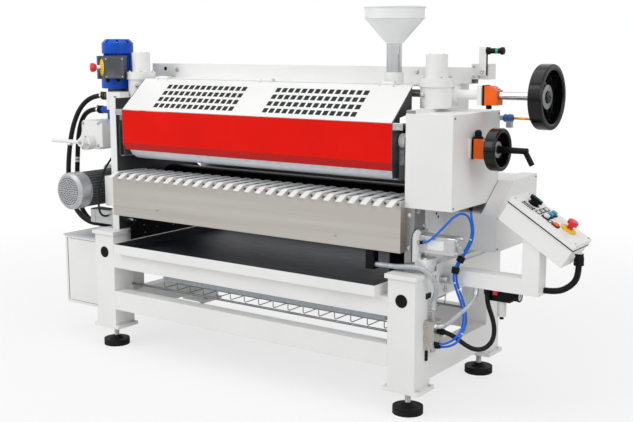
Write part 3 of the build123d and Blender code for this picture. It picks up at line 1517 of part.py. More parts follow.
push_fit_mid_y = dam_rod_y - cylinder_s / 2 - tube_off
push_fit_mid_z = (push_fit_z[0] + push_fit_z[1]) / 2
branch_route = [
    (push_fit_x[1], push_fit_mid_y, push_fit_mid_z),
    (push_fit_x[1] + 25, push_fit_mid_y, push_fit_mid_z),
    (894, -296, 698),
    (918, -288, 724),
    (937, -270, 751),
    (951, -246, 774),
    (965, -218, 786),
    (980, -192, 772),
    (985, -174, 733),
    (984, -172, 690),
    (973, -186, 651),
    (956, -204, 614),
    (940, -216, 575),
    (935, -218, 532),
    (944, -212, 490),
    (960, -206, 448),
    (978, -214, 407),
    (993, -240, 371),
    (993, -270, 337),
    (976, -290, 310),
    (valve_x[1] + 29, -293, 290),
    (valve_x[1], -293, 290),
]
keep(hose(branch_route, air_tube_r), "air_tube_branch")

# Cable from the interlock switch's post down to the front of the left dam cylinder
cylinder_front_y = dam_rod_y - cylinder_s / 2
cable_route = [
    (post_x, post_y, switch_z[0] - switch_post_l),
    (post_x, post_y, switch_z[0] - switch_post_l - 42),
    (-860, -212, 916),
    (-873, -232, 878),
    (-886, -256, 840),
    (-893, -278, 800),
    (-893, -296, 758),
    (-888, -310, 715),
    (-878, -320, 672),
    (-872, -325, 645),
    (-867, -321, 622),
    (-862, cylinder_front_y - 22, dam_rod_z[-1] + 7),
    (-862, cylinder_front_y, dam_rod_z[-1] + 7),
]
keep(hose(cable_route, cable_r), "switch_cable")

# Cable conduit from the panel's elbow round to the arm
conduit_route = [
    (elbow_x, panel_y, elbow_z),
    (elbow_x, panel_y, elbow_z - 44),
    (1362, panel_y - 4, 541),
    (arm_x[1] + 50, panel_y - 12, 515),
    (arm_x[1], panel_y - 12, 515),
]
keep(hose(conduit_route, conduit_r), "control_conduit")
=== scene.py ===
import math
import bmesh
import bpy
import numpy as np
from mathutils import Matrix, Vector


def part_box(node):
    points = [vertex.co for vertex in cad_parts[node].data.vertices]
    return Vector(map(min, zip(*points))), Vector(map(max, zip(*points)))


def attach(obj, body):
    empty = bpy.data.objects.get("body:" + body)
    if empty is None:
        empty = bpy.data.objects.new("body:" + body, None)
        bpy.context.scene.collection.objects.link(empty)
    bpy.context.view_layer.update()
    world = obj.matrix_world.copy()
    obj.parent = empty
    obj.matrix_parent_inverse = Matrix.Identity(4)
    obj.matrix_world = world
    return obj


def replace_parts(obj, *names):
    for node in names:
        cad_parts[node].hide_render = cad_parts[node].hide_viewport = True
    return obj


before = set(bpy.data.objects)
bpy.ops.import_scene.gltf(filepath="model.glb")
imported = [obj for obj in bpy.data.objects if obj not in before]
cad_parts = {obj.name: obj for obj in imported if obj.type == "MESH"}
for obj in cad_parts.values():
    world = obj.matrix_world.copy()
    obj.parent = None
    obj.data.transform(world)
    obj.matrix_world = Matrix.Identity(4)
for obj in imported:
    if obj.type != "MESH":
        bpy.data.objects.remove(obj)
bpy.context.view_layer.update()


# Studio: a pale floor in a white room, with three soft boxes and a soft sky. The camera stands to the
# right of the infeed side, a little higher than the crossbeam, and looks slightly down.
MIDDLE = 98.0278  # mm from the centre of the four feet to the machine's own origin, along X


def metres(points):
    """Points in mm from the centre of the four feet, as metres in the machine's frame."""
    return np.subtract(points, (MIDDLE, 0, 0)) / 1000


def srgb(code):
    """'#rrggbb' as linear colour: c / 12.92 below 0.04045, else ((c + 0.055) / 1.055) ** 2.4."""
    c = np.array([int(code[i:i + 2], 16) for i in (1, 3, 5)]) / 255
    return (*np.where(c < 0.04045, c / 12.92, ((c + 0.055) / 1.055) ** 2.4).tolist(), 1.0)


def add(tree, kind, inputs=(), **settings):
    """One shader node, new or one that is there: its settings, then each input by name or number, set to
    a value or linked to a socket or to a node's first output."""
    made = kind if isinstance(kind, bpy.types.Node) else tree.nodes.new("ShaderNode" + kind)
    for key, value in settings.items():
        setattr(made, key, value)
    for key, value in dict(inputs).items():
        if isinstance(value, bpy.types.Node):
            value = value.outputs[0]
        if isinstance(value, bpy.types.NodeSocket):
            tree.links.new(value, made.inputs[key])
        else:
            made.inputs[key].default_value = value
    return made


def show(name, data):
    """An object that holds the data, linked into the scene."""
    made = bpy.data.objects.new(name, data)
    scene.collection.objects.link(made)
    return made


scene = bpy.context.scene
scene.view_settings.view_transform = "Standard"
eye = bpy.data.cameras.new("photo_camera")
eye.sensor_width = 36.0
eye.sensor_fit = "HORIZONTAL"
eye.lens = 57.41
look_down, turned_left = 9.283, 35.317  # degrees below level, and round from square on
camera = show("photo_camera", eye)
camera.location = metres((2671.42, -3557.44, 1400.46))
camera.rotation_euler = (math.radians(90 - look_down), 0, math.radians(turned_left))
scene.camera = camera

# The room is full white where it is seen or mirrored, and lights the machine with less
room = bpy.data.worlds.new("white_room")
room.use_nodes = True
scene.world = room
tree = room.node_tree
path = add(tree, "LightPath").outputs
seen = path["Is Camera Ray"]
for ray in ("Is Glossy Ray", "Is Transmission Ray"):
    seen = add(tree, "Math", {0: seen, 1: path[ray]}, operation="MAXIMUM")
level = add(tree, "MapRange", {"Value": seen, "To Min": 0.46, "To Max": 1.0})
add(tree, tree.nodes["Background"], {"Color": (1, 1, 1, 1), "Strength": level})

# The floor glows for the camera, more with distance, and so runs into the room without an edge
floor_paint = bpy.data.materials.new("pale_studio_floor")
floor_paint.use_nodes = True
tree = floor_paint.node_tree
matt = add(tree, tree.nodes["Principled BSDF"], {
    "Base Color": srgb("#F2F2F2"), "Roughness": 0.9, "Specular IOR Level": 0.1})
glow = add(tree, "Emission", {"Color": (1, 1, 1, 1), "Strength": 1.0})
away = add(tree, "VectorMath", {0: add(tree, "NewGeometry").outputs["Position"]}, operation="LENGTH")
fade = add(tree, "MapRange", {
    "Value": away.outputs["Value"], "From Min": 1.2, "From Max": 4.0, "To Min": 0.7, "To Max": 1.0})
direct = add(tree, "LightPath").outputs["Is Camera Ray"]
share = add(tree, "Math", {0: fade, 1: direct}, operation="MULTIPLY")
blend = add(tree, "MixShader", {0: share, 1: matt, 2: glow})
add(tree, tree.nodes["Material Output"], {"Surface": blend})
far = 40.0  # metres from the middle of the floor to its edges
ground = bpy.data.meshes.new("studio_floor")
ground.from_pydata([(-far, -far, 0), (far, -far, 0), (far, far, 0), (-far, far, 0)], [], [(0, 1, 2, 3)])
ground.materials.append(floor_paint)
floor = show("studio_floor", ground)

for name, spot, aim, size, power in (
    ("soft_box_left", (-2.6, -4.2, 3.6), (0, 0, 0.7), 3.0, 104.0),
    ("soft_box_right", (4.2, -1.6, 3.0), (0.3, 0, 0.8), 2.6, 52.0),
    ("soft_box_top", (0.2, -0.4, 4.6), (0, 0, 0.8), 3.4, 46.0),
):
    box = bpy.data.lights.new(name, "AREA")
    box.size = size
    box.energy = power
    lamp = show(name, box)
    lamp.location = spot
    lamp.rotation_euler = (Vector(aim) - Vector(spot)).to_track_quat("-Z", "Y").to_euler()


def finish(name, tones, patch, rough, grain, height, slot=None, stretch=(1, 1, 1), edge=1.5, **shader):
    """A surface whose colour drifts between two tones over patches and whose roughness drifts between
    two values over a grain that stands up by height, all in mm; stretch draws it out along an axis. slot
    is not used."""
    made = bpy.data.materials.new(name)
    made.use_nodes = True
    tree = made.node_tree
    where = add(tree, "Mapping", {
        "Vector": add(tree, "TexCoord").outputs["Object"], "Scale": [1 / s for s in stretch]})
    drift = add(tree, "TexNoise", {"Vector": where, "Scale": 1000 / patch, "Detail": 3.0})
    ramp = add(tree, "MapRange", {"Value": drift, "From Min": 0.3, "From Max": 0.7})
    colour = add(tree, "MixRGB", {"Fac": ramp, "Color1": srgb(tones[0]), "Color2": srgb(tones[1])})
    fine = add(tree, "TexNoise", {"Vector": where, "Scale": 1000 / grain, "Detail": 2.0})
    dull = add(tree, "MapRange", {
        "Value": fine, "From Min": 0.3, "From Max": 0.7, "To Min": rough[0], "To Max": rough[1]})
    round_edge = add(tree, "Bevel", {"Radius": edge / 1000}, samples=4)
    relief = add(tree, "Bump", {"Height": fine, "Distance": height / 1000, "Normal": round_edge})
    add(tree, tree.nodes["Principled BSDF"], {
        "Base Color": colour, "Roughness": dull, "Normal": relief,
        **{socket.replace("_", " "): value for socket, value in shader.items()}})
    return made


# Extruded rubber is dull black with a slight bloom, braided tube shows the grey of what is inside it,
# and the air lines' nylon is an even blue with a soft shine
hose_rubber = finish(
    "extruded_rubber", ("#0B0B0C", "#181819"), 60, (0.42, 0.55), 6, 0.12, Specular_IOR_Level=0.2)
braided_pvc = finish(
    "braided_clear_pvc", ("#A6ABB1", "#BDC2C7"), 30, (0.18, 0.3), 5, 0.15, Coat_Weight=0.3,
    Coat_Roughness=0.1, IOR=1.53)
air_nylon = finish(
    "blue_nylon_tube", ("#0560D2", "#0C73E2"), 80, (0.25, 0.35), 8, 0.04, IOR=1.53, Specular_IOR_Level=0.3)


def hose(node, route, radius, skin):
    """A round tube whose line is the NURBS of order 3 with the route's points as control points. Gives
    the points that the line passes through, in mm, read before the line gets its bevel."""
    line = bpy.data.curves.new(node + "_line", "CURVE")
    line.dimensions = "3D"
    points = metres(route)
    spline = line.splines.new("NURBS")
    spline.points.add(len(points) - 1)
    spline.points.foreach_set("co", np.c_[points, np.ones(len(points))].ravel())
    spline.order_u = 3
    spline.use_endpoint_u = True
    spline.use_smooth = True
    line.resolution_u = 10
    line.materials.append(skin)
    made = show(node + "_tube", line)
    bpy.context.view_layer.update()
    bare = bpy.data.meshes.new_from_object(made.evaluated_get(bpy.context.evaluated_depsgraph_get()))
    spine = np.zeros((len(bare.vertices), 3))
    bare.vertices.foreach_get("co", spine.ravel())
    bpy.data.meshes.remove(bare)
    line.bevel_depth = radius / 1000
    line.bevel_resolution = 5
    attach(made, "machine")
    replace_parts(made, node)
    return spine * 1000 + (MIDDLE, 0, 0)


pump_hose_upper = hose("pump_hose_upper", [
    (-1062, -100, 1160), (-1122, -100, 1160), (-1196, -122, 1112), (-1230, -152, 1010), (-1236, -178, 880),
    (-1232, -193, 740), (-1202, -198, 622), (-1128, -188, 545), (-1030, -165, 530), (-960, -118, 570),
    (-905, -96, 590), (-840, -96, 590)], 12, hose_rubber)
pump_hose_lower = hose("pump_hose_lower", [
    (-1092, -100, 1092), (-1147, -102, 1092), (-1208, -104, 1054), (-1235, -112, 970), (-1237, -124, 840),
    (-1236, -134, 705), (-1211, -136, 588), (-1143, -124, 522), (-1050, -92, 515), (-960, -62, 548),
    (-905, -48, 590), (-840, -48, 590)], 12, hose_rubber)
drain_hose = hose("drain_hose", [
    (650, -307, 568), (700, -307, 568), (755, -314, 572), (810, -317, 580), (860, -317, 581),
    (899, -308, 553), (912, -291, 508), (891, -270, 465), (882.5, -265, 438), (882.5, -265, 413)],
    10, braided_pvc)
black_hose = hose("black_hose", [
    (905, -270, 335), (942, -270, 335), (980, -262, 318), (1010, -240, 288), (1036, -212, 268),
    (1062, -180, 270), (1080, -156, 298), (1082, -146, 340), (1070, -143, 384), (1054, -146, 424),
    (1048, -150, 462), (1048, -150, 500)], 9, hose_rubber)
clear_hose = hose("clear_hose", [
    (905, -288, 355), (943, -288, 360), (976, -266, 396), (1000, -236, 424), (1012, -204, 446),
    (1014, -176, 468), (1014, -170, 500)], 8, braided_pvc)
air_tube = hose("air_tube", [
    (952, -110, 799), (952, -110, 762), (977, -134, 720), (984, -151, 678), (974, -171, 640),
    (956, -190, 603), (944, -203, 563), (946, -204, 519), (959, -199, 477), (976, -197, 438),
    (994, -211, 399), (1007, -238, 363), (1004, -269, 329), (988, -283, 299), (938, -284, 277),
    (905, -284, 277)], 4.5, air_nylon)
air_tube_branch = hose("air_tube_branch", [
    (837, -293, 672), (862, -293, 672), (894, -296, 698), (918, -288, 724), (937, -270, 751),
    (951, -246, 774), (966, -214, 786), (979, -183, 772), (983, -162, 733), (984, -161, 690),
    (974, -176, 651), (959, -196, 614), (942, -212, 575), (937, -214, 532), (947, -209, 490),
    (963, -203, 448), (981, -211, 407), (997, -238, 371), (998, -267, 337), (976, -290, 310),
    (934, -293, 290), (905, -293, 290)], 4.5, air_nylon)
hose("switch_cable", [
    (-854, -200, 1000), (-854, -200, 958), (-860, -212, 916), (-873, -232, 878), (-886, -256, 840),
    (-893, -278, 800), (-893, -296, 758), (-888, -310, 715), (-878, -320, 672), (-872, -325, 645),
    (-867, -321, 622), (-862, -304.5, 607), (-862, -282.5, 607)], 5, hose_rubber)
control_conduit = hose("control_conduit", [
    (1388, -115, 622), (1388, -115, 578), (1362, -119, 541), (1316, -127, 515), (1266, -127, 515)],
    11, hose_rubber)


# Clamps and crimps of the hoses: zinc-plated worm-drive bands on the pump's hoses, ridged steel
# crimp sleeves at the valve block, and black straps and pale ties round the two air lines.
X, Y, Z = np.eye(3)


def loft(rings, wrap=False):
    """Rings of n points each, joined ring to ring by quads; capped at both ends, or wrapped round to
    the first ring. Gives the points and the faces."""
    rings = np.asarray(rings, float)
    m, n = rings.shape[:2]
    index = np.arange(m * n).reshape(m, n)
    low = index if wrap else index[:-1]
    high = np.roll(index, -1, 0) if wrap else index[1:]
    quads = np.stack([low, np.roll(low, -1, 1), np.roll(high, -1, 1), high], -1).reshape(-1, 4).tolist()
    ends = [] if wrap else [index[0, ::-1].tolist(), index[-1].tolist()]
    return rings.reshape(-1, 3), quads + ends


def circle(count):
    """So many angles, evenly round a full turn."""
    return np.linspace(0, 2 * np.pi, count, endpoint=False)


def turned(profile, foot, axis, around=40, wrap=False):
    """A turned piece: (radius, height) points carried round an axis from its foot,
    p = foot + h * axis + r * (cos a * side + sin a * other), with both sides square to the axis."""
    axis = np.asarray(axis, float) / np.linalg.norm(axis)
    side = np.cross(axis, Z if abs(axis[2]) < 0.9 else Y)
    side /= np.linalg.norm(side)
    angle = circle(around)[:, None]
    spokes = np.cos(angle) * side + np.sin(angle) * np.cross(axis, side)
    radius, height = np.transpose(profile)[:, :, None, None]
    return loft(foot + height * axis + radius * spokes, wrap=wrap)


def joined(shapes):
    """Several shapes as one: their points in a row, and each one's faces counted on from those before."""
    starts = np.cumsum([0] + [len(points) for points, faces in shapes]).tolist()
    return (np.concatenate([points for points, faces in shapes]),
            [[i + start for i in face] for start, (_, faces) in zip(starts, shapes) for face in faces])


def piece(name, shapes, skin, body="machine", smooth=40):
    """Joins shapes of points in mm and faces into one object that rides on a body; edges sharper than
    smooth, in degrees, stay sharp."""
    points, faces = joined(shapes)
    mesh = bpy.data.meshes.new(name)
    mesh.from_pydata(metres(points).tolist(), [], faces)
    work = bmesh.new()
    work.from_mesh(mesh)
    bmesh.ops.recalc_face_normals(work, faces=work.faces)
    work.to_mesh(mesh)
    work.free()
    mesh.shade_smooth()
    mesh.set_sharp_from_angle(angle=math.radians(smooth))
    mesh.materials.append(skin)
    made = show(name, mesh)
    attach(made, body)
    return made


def sleeve(line, begin, end, radii, around=24):
    """A sleeve round a line from one distance along it to another, counted back from its far end where
    they are below zero: ring i has radius radii[i] and stands square to the line there."""
    run = np.r_[0, np.cumsum(np.linalg.norm(np.diff(line, axis=0), axis=1))]
    at = np.linspace(begin, end, len(radii)) + (run[-1] if begin < 0 else 0)
    spot, after, before = (np.stack([np.interp(at + d, run, line[:, k]) for k in range(3)], -1)
                           for d in (0, 1, -1))
    ahead = (after - before) / np.linalg.norm(after - before, axis=1)[:, None]
    askew = (0.31, 0.91, 0.27)  # a direction that no line here runs along
    side = np.cross(ahead, askew)
    side /= np.linalg.norm(side, axis=1)[:, None]
    other = np.cross(ahead, side)
    angle = circle(around)[None, :, None]
    return loft(spot[:, None] + np.asarray(radii)[:, None, None] * (
        np.cos(angle) * side[:, None] + np.sin(angle) * other[:, None]))


# Zinc plate over rolled steel: a bright grey with faint cloudy blooms
zinc_plate = finish(
    "zinc_plated_steel", ("#B9BBBC", "#D2D3D2"), 14, (0.22, 0.4), 4, 0.05, "bright_steel", Metallic=1)
band = [12.1, 13.1, 13.1, 12.1]
pump_hoses = (pump_hose_upper, pump_hose_lower)
clamps = [sleeve(line, s, s + 11, band) for line in pump_hoses for s in (6, 330, 345)]
clamps += [sleeve(line, -s, 10 - s, band) for line in pump_hoses for s in (18, 46)]
clamps += [turned([(5, 0), (5.5, 1), (5.5, 9), (4, 10)], foot, Z, 6)
           for foot in ((-1073, -100, 1171), (-1103, -100, 1103))]
piece("hose_clamps", clamps, zinc_plate)

crimp_ridges = 6
crimp = 1.25 + 0.75 * (np.cos(np.linspace(0, 1, 33) * 2 * np.pi * crimp_ridges) > -0.2)
piece("hose_crimps", [
    sleeve(drain_hose, -40, -1, 10 + crimp),
    sleeve(clear_hose, 3, 40, 8 + crimp),
    sleeve(clear_hose, -34, -1, 8 + crimp),
    turned([(8, 0), (15, 0.5), (15, 9.5), (8, 10)], (882.5, -265, 402), Z, 6),
    turned([(6, 0), (13, 0.5), (13, 7), (6, 7.5)], (905, -288, 355), X, 6),
], zinc_plate)

# Moulded nylon is a satin black with a fine sparked texture; the ties keep its natural ivory
black_nylon = finish(
    "moulded_black_nylon", ("#08080A", "#121214"), 40, (0.36, 0.48), 3, 0.05, "black_plastic",
    Specular_IOR_Level=0.13)
natural_nylon = finish(
    "natural_nylon_tie", ("#DEDCD4", "#E9E7E0"), 20, (0.35, 0.5), 3, 0.04, "white_plastic", IOR=1.53)
air_tubes = (air_tube, air_tube_branch)
ferrule = [10.5, 12.6, 12.6, 11.4, 12.6, 12.6, 11.4, 12.6, 12.6, 10.5]
strap = [(5, -13), (14, -12), (15, -9), (15, 9), (14, 12), (5, 13)]
fittings = [
    sleeve(black_hose, 1, 30, ferrule),
    sleeve(black_hose, -26, -1, ferrule),
    turned(strap, (957, -194, 605), (0.34, 0.36, 0.87), 24),
    turned(strap, (942.5, -207.5, 563), (0.1, 0.15, 0.98), 24),
    sleeve(air_tube, 0.5, 20, [8.5, 8.5, 7, 6]),
    sleeve(air_tube_branch, 0.5, 12, [6.6, 6.6, 5.6]),
]
fittings += [sleeve(line, -22, -1, [6, 7, 8, 8]) for line in air_tubes]
piece("hose_fittings", fittings, black_nylon)
ties = [sleeve(line, s, s + 5, [4.7, 5.6, 5.6, 4.7]) for line in air_tubes for s in (340, 520)]
piece("tube_ties", ties, natural_nylon)

conduit_ribs = 24
ribs = 11.15 + 1.15 * np.cos(np.linspace(0, 1, 121) * 2 * np.pi * conduit_ribs)
piece("conduit_ribs", [sleeve(control_conduit, 8, 182, ribs, 32)], black_nylon)


# Levelling feet: moulded rubber pads, a dull dusty black, on zinc-plated studs with lock nuts, screwed
# into the legs.
def paint(node, skin, *others):
    """Gives a CAD node its finish; each of the others is a finish and a test of the faces' centres and
    outward directions, in mm, that says where it goes instead."""
    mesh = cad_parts[node].data
    mesh.materials.clear()
    mesh.materials.append(skin)
    centre, normal = np.zeros((2, len(mesh.polygons), 3))
    mesh.polygons.foreach_get("center", centre.ravel())
    mesh.polygons.foreach_get("normal", normal.ravel())
    x, y, z = (centre * 1000 + (MIDDLE, 0, 0)).T
    index = np.zeros(len(centre), int)
    for k, (other, test) in enumerate(others):
        mesh.materials.append(other)
        index[test(x, y, z, normal.T)] = k + 1
    mesh.polygons.foreach_set("material_index", index)


pad_rubber = finish(
    "moulded_pad_rubber", ("#0E0E0F", "#1A1A1B"), 50, (0.5, 0.7), 5, 0.12, Specular_IOR_Level=0.2)
pad_top = 42.5
paint("levelling_feet", pad_rubber, (zinc_plate, lambda x, y, z, n: z > pad_top))

feet = [(x, y) for x in (-800, 800) for y in (-305, 305)]
pitch = 3
turns = circle(20)
climb = np.linspace(43, 74, 63)[:, None]
thread_r = 11.3 + 0.5 * np.cos(2 * np.pi * climb / pitch - turns)
threads = [loft(np.stack([x + thread_r * np.cos(turns), y + thread_r * np.sin(turns),
                          np.broadcast_to(climb, thread_r.shape)], -1)) for x, y in feet]
piece("foot_threads", threads, zinc_plate, smooth=80)


# Welded frame: legs, beams and foot plates of square steel tube, powder coated in a pale grey white.
# The coating gives a soft sheen with a faint orange peel, drawn coarser than it is so that it shows.
white_coat = finish(
    "white_powder_coat", ("#F1F1F0", "#ECECEB"), 240, (0.30, 0.42), 7, 0.05, "white_paint", edge=2.5,
    IOR=1.5)
paint("frame_legs", white_coat)

plug = [(19, -3), (25.5, 0.05), (25.5, 1.6), (22.5, 3.2), (18, 3.2), (16.5, 1.4), (3, 1.0)]
piece("leg_plugs", [turned(plug, (x, -365, 454), -Y) for x in (-800, 800)], black_nylon)


def hex_head(size, height, axis):
    """A hexagon bolt head on a washer, as a six-sided turned piece with a chamfered top."""
    washer = turned([(size * 1.25, 0), (size * 1.25, 1.2), (size * 0.6, 1.25)], (0, 0, 0), axis, 20)
    head = [(size, 1.2), (size, height * 0.8), (size * 0.86, height), (1, height)]
    return joined([washer, turned(head, (0, 0, 0), axis, 6)])


def socket_head(size, axis, sunk=0.55):
    """A socket cap screw: a turned head with a rounded rim and a sunk socket."""
    return turned([(size, 0), (size, size * 0.75), (size * 0.86, size), (size * sunk, size),
                   (size * sunk * 0.95, size * 0.35), (0.5, size * 0.3)], (0, 0, 0), axis, 18)


def screws(name, *groups, skin=zinc_plate, body="machine"):
    """Screws as one piece: each group is a head at the origin and the places where copies of it stand."""
    piece(name, [(points + place, faces) for (points, faces), places in groups for place in places],
          skin, body, smooth=30)


screws("foot_plate_bolts", (hex_head(5.5, 5, Z), [
    (x + dx, y + dy, 108) for x, y in feet for dx in (-70, 70) for dy in (-42, 42)]))


# Drip tray and wire basket: a folded steel tray, dark inside and white on its outer walls, lying on the
# upper beams, and a basket welded from drawn wire with a galvanised rim, on two rods under it.
# The dark paint is satin, with long faint streaks along the tray that are a painted reflection; wire and
# strip are a plain grey.
# streaks of the two tones drawn out along the tray: painted reflection
tray_paint = finish(
    "dark_tray_paint", ("#30333A", "#393C43"), 90, (0.44, 0.54), 16, 0.02, stretch=(6, 1, 1),
    Specular_IOR_Level=0.16)
paint("drip_tray", white_coat, (tray_paint, lambda x, y, z, n: (n[2] > 0.5) | (
    (abs(x) < 701.5) & (abs(y) < 399.5) & (z > 464))))
drawn_wire = finish("drawn_wire", ("#7C7F82", "#979A9D"), 25, (0.25, 0.4), 5, 0.04, "wire_steel", Metallic=1)
galvanised = finish(
    "galvanised_strip", ("#9FA8AF", "#B4BCC2"), 18, (0.35, 0.5), 6, 0.05, "wire_steel", Metallic=0.5)
left, right, half, low, high = -534, 662, 255, 296, 351


def wire(begin, end, foot, top, place):
    """A drawn wire of 4 mm, bent to a U with cut corners from begin to end; place turns a distance across
    the basket and a height into a point."""
    cut = 7
    bend = [(begin, top), (begin, foot + cut), (begin + cut, foot),
            (end - cut, foot), (end, foot + cut), (end, top)]
    line = np.array([place(run, z) for run, z in bend], float)
    return sleeve(line, 0, np.linalg.norm(np.diff(line, axis=0), axis=1).sum(), np.full(90, 2.0), 8)


wires = [wire(2 - half, half - 2, low + 2, high - 4, lambda y, z: (x, y, z))
         for x in np.linspace(left + 4, right - 4, 16)]
wires += [wire(left + 2, right - 2, low + 6, high - 4, lambda x, z: (x, y, z))
          for y in np.linspace(-170, 170, 5)]
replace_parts(piece("basket_wires", wires, drawn_wire), "wire_basket")
rim = [[(left + t, t - half, z), (right - t, t - half, z), (right - t, half - t, z), (left + t, half - t, z)]
       for t, z in ((0, high - 20), (0, high), (3, high), (3, high - 20))]
piece("basket_rim", [loft(rim, wrap=True)], galvanised)
paint("frame_beams", white_coat, (drawn_wire, lambda x, y, z, n: (abs(y) < 260) & (z > 285) & (z < 297)))


# Side frames: thick steel plates that carry the rolls. They are powder coated outside, their faces towards
# the rolls are painted dark grey as painted shade, and the right front edge and the plates screwed on beside
# it are ground steel.
# Grinding leaves fine upright lines, drawn coarser than they are so that they show.
# Dark grey enamel of the hood's end plates, also used as painted shade on the side frames' inner faces,
# inside the head blocks and on the comb screws
dark_enamel_and_painted_shade = finish("dark_grey_enamel_and_painted_shade", ("#38393B", "#444648"), 80, (0.35, 0.5), 7, 0.05, "dark_grey_paint")
ground_steel = finish(
    "ground_steel_plate", ("#8F8E8C", "#A09F9C"), 30, (0.32, 0.45), 4, 0.04, "bright_steel",
    stretch=(1, 1, 25), Metallic=0.9)
paint("side_frames", white_coat,
      # the faces towards the rolls are painted dark grey: painted shade
      (dark_enamel_and_painted_shade, lambda x, y, z, n: (n[0] * np.sign(x) < -0.5) & (abs(x) < 771)),
      (ground_steel, lambda x, y, z, n: (n[1] < -0.5) & (y < -290) & (x > 0)))


def slab(middle, along, up, size, corner, levels):
    """A plate with rounded corners: its outline, inset and raised by each (inset, height) of levels, is
    carried along the normal of the plane that along and up lie in."""
    along, up = (np.asarray(d, float) / np.linalg.norm(d) for d in (along, up))
    normal = np.cross(along, up)
    steps = 6
    quarter = np.linspace(0, np.pi / 2, steps)
    turn = np.concatenate([quarter + k * np.pi / 2 for k in range(4)])
    sign = np.repeat([(1, 1), (-1, 1), (-1, -1), (1, -1)], steps, 0)
    rings = []
    for inset, height in levels:
        r = max(corner - inset, 0.05)
        flat = sign * (np.array(size) / 2 - inset - r) + r * np.c_[np.cos(turn), np.sin(turn)]
        rings.append(middle + flat[:, :1] * along + flat[:, 1:] * up + height * normal)
    return loft(rings)


piece("frame_plates", [
    slab((810, -255.5, z), Y, Z, (81, tall), 2, [(0, 0), (0, 1.6), (0.5, 2.1)])
    for z, tall in ((754, 86), (596, 46))], ground_steel)
screws("frame_bolts", (hex_head(8.5, 7, X), [(812.1, -271, 784), (812.1, -223, 722)]),
       (hex_head(7, 6, -Y), [(790, -296, 771), (790, -296, 645)]))
piece("frame_plugs", [
    turned([(5.5, 0), (5.5, 0.5), (4.6, 0.9), (0.6, 0.6)], foot, X, 20)
    for foot in ((810, -121, 757), (810, -107, 741))], black_nylon)
screws("frame_foot_bolts", (hex_head(8, 7, Z), [
    (x, y, 572) for x, row in ((840, (-150, -30, 90, 210)), (-840, (-170, 20, 140, 260))) for y in row]),
    skin=white_coat)


# Rolls: hollow steel bodies on turned journals. The applicators carry a ground black rubber cover, matt
# and even; the doctor rolls are hard chromed and polished, with a pale bluish white base that is a painted
# reflection of the bright room; the gears are milled steel.
roll_rubber = finish(
    "ground_roll_rubber", ("#111112", "#1A1A1C"), 90, (0.38, 0.5), 3, 0.03, Specular_IOR_Level=0.2)
# pale bluish white base, low metallic: painted reflection of the bright room
chrome_painted_reflection = finish(
    "hard_chrome_painted_reflection", ("#EDF3F9", "#F4F8FC"), 200, (0.2, 0.24), 20, 0.002, Metallic=0.25)
turned_steel = finish(
    "turned_bright_steel", ("#B4B5B6", "#C9CACA"), 30, (0.16, 0.28), 3, 0.03, "bright_steel",
    stretch=(0.3, 1, 1), Metallic=1)
gear_steel = finish("milled_gear_steel", ("#7E7E7D", "#949392"), 20, (0.3, 0.45), 4, 0.06, Metallic=1)
for row in ("lower", "upper"):
    paint(row + "_roll_cover", roll_rubber)
    paint(row + "_roll_shaft", turned_steel)
    paint(row + "_doctor_roll", chrome_painted_reflection)
    paint(row + "_idler_gear", gear_steel)


# Upper head: bearing blocks and sleeves in white, the setting blocks of the doctor roll in steel,
# and the bright lift screws that hang from the jacks. The parts of the blocks just inside the side frames
# are painted dark grey as painted shade.
jack_y = -105
paint("head_blocks", white_coat, (turned_steel, lambda x, y, z, n: (z > 1064) & (abs(y - jack_y) < 16)),
      # parts just inside the side frames painted dark grey: painted shade
      (dark_enamel_and_painted_shade, lambda x, y, z, n: (abs(x) < 769.9) & (abs(x) > 757)))
paint("doctor_blocks", gear_steel)


# Screw jacks: cast housings, machined and powder coated, bolted on the side frames with hexagon bolts,
# each closed by a turned cap with four socket screws.
def four(middle, radius, along, up, turn=0):
    """Four places evenly round a middle, middle + radius * (cos a * along + sin a * up), with a = 45
    degrees and on, plus turn in radians."""
    a = np.radians([45, 135, 225, 315])[:, None] + turn
    return middle + radius * (np.cos(a) * along + np.sin(a) * up)


paint("jack_housings", white_coat)
jacks = [np.array([x, jack_y, 0]) for x in (-790, 790)]
screws("jack_bolts", *[(hex_head(6.5, 6, Z), four(jack + 1280 * Z, 55, X, Y)) for jack in jacks],
       *[(socket_head(4, Z), four(jack + 1370 * Z, 28, X, Y)) for jack in jacks],
       (hex_head(7, 6, -Y), [(764, -167, 1216), (-764, -167, 1216)]))
jack_cap = [(42, 0), (42, 4), (39, 7), (20, 8), (1, 8.2)]
piece("jack_caps", [turned(jack_cap, jack + 1362.5 * Z, Z, 56) for jack in jacks], white_coat)


# Crossbeam, shelf and hand lever: a square tube over the side frames, white, with a lever at its right
# end whose moulded black grip has a band of smooth green ABS.
grip = np.array([931, 38, 1382])
paint("crossbeam", white_coat)
paint("hand_lever", white_coat, (black_nylon, lambda x, y, z, n: x > grip[0] + 0.01))
green_abs = finish("green_abs", ("#158F6C", "#1DA37E"), 30, (0.25, 0.35), 5, 0.03, "green_plastic", IOR=1.53)
spool = [(9, 0.3), (13.5, 1), (14.2, 3), (14.2, 9), (12.5, 12), (9.2, 17), (8.8, 33), (9.4, 50), (13, 57),
         (14.4, 59), (14.4, 68), (13.2, 70), (5, 70.5)]
piece("lever_grip", [turned(spool, grip, X, 32)], black_nylon, "hand_lever")
green_band = [(9.0, 0), (10.6, 0.8), (10.6, 11), (9.2, 12)]
piece("lever_band", [turned(green_band, grip + 37 * X, X, 32)], green_abs, "hand_lever")
screws("lever_screws", (socket_head(5, -Y), [(873, 45, 1321), (873, 45, 1283), (895, 45, 1283)]))
lever_bolt = [(9, 0), (9, 4), (7.5, 6.5), (4.5, 6.5), (4.2, 3), (1, 3)]
piece("lever_bolt", [turned(lever_bolt, (916, 31, 1302), -Y, 6)], zinc_plate, "hand_lever", smooth=30)
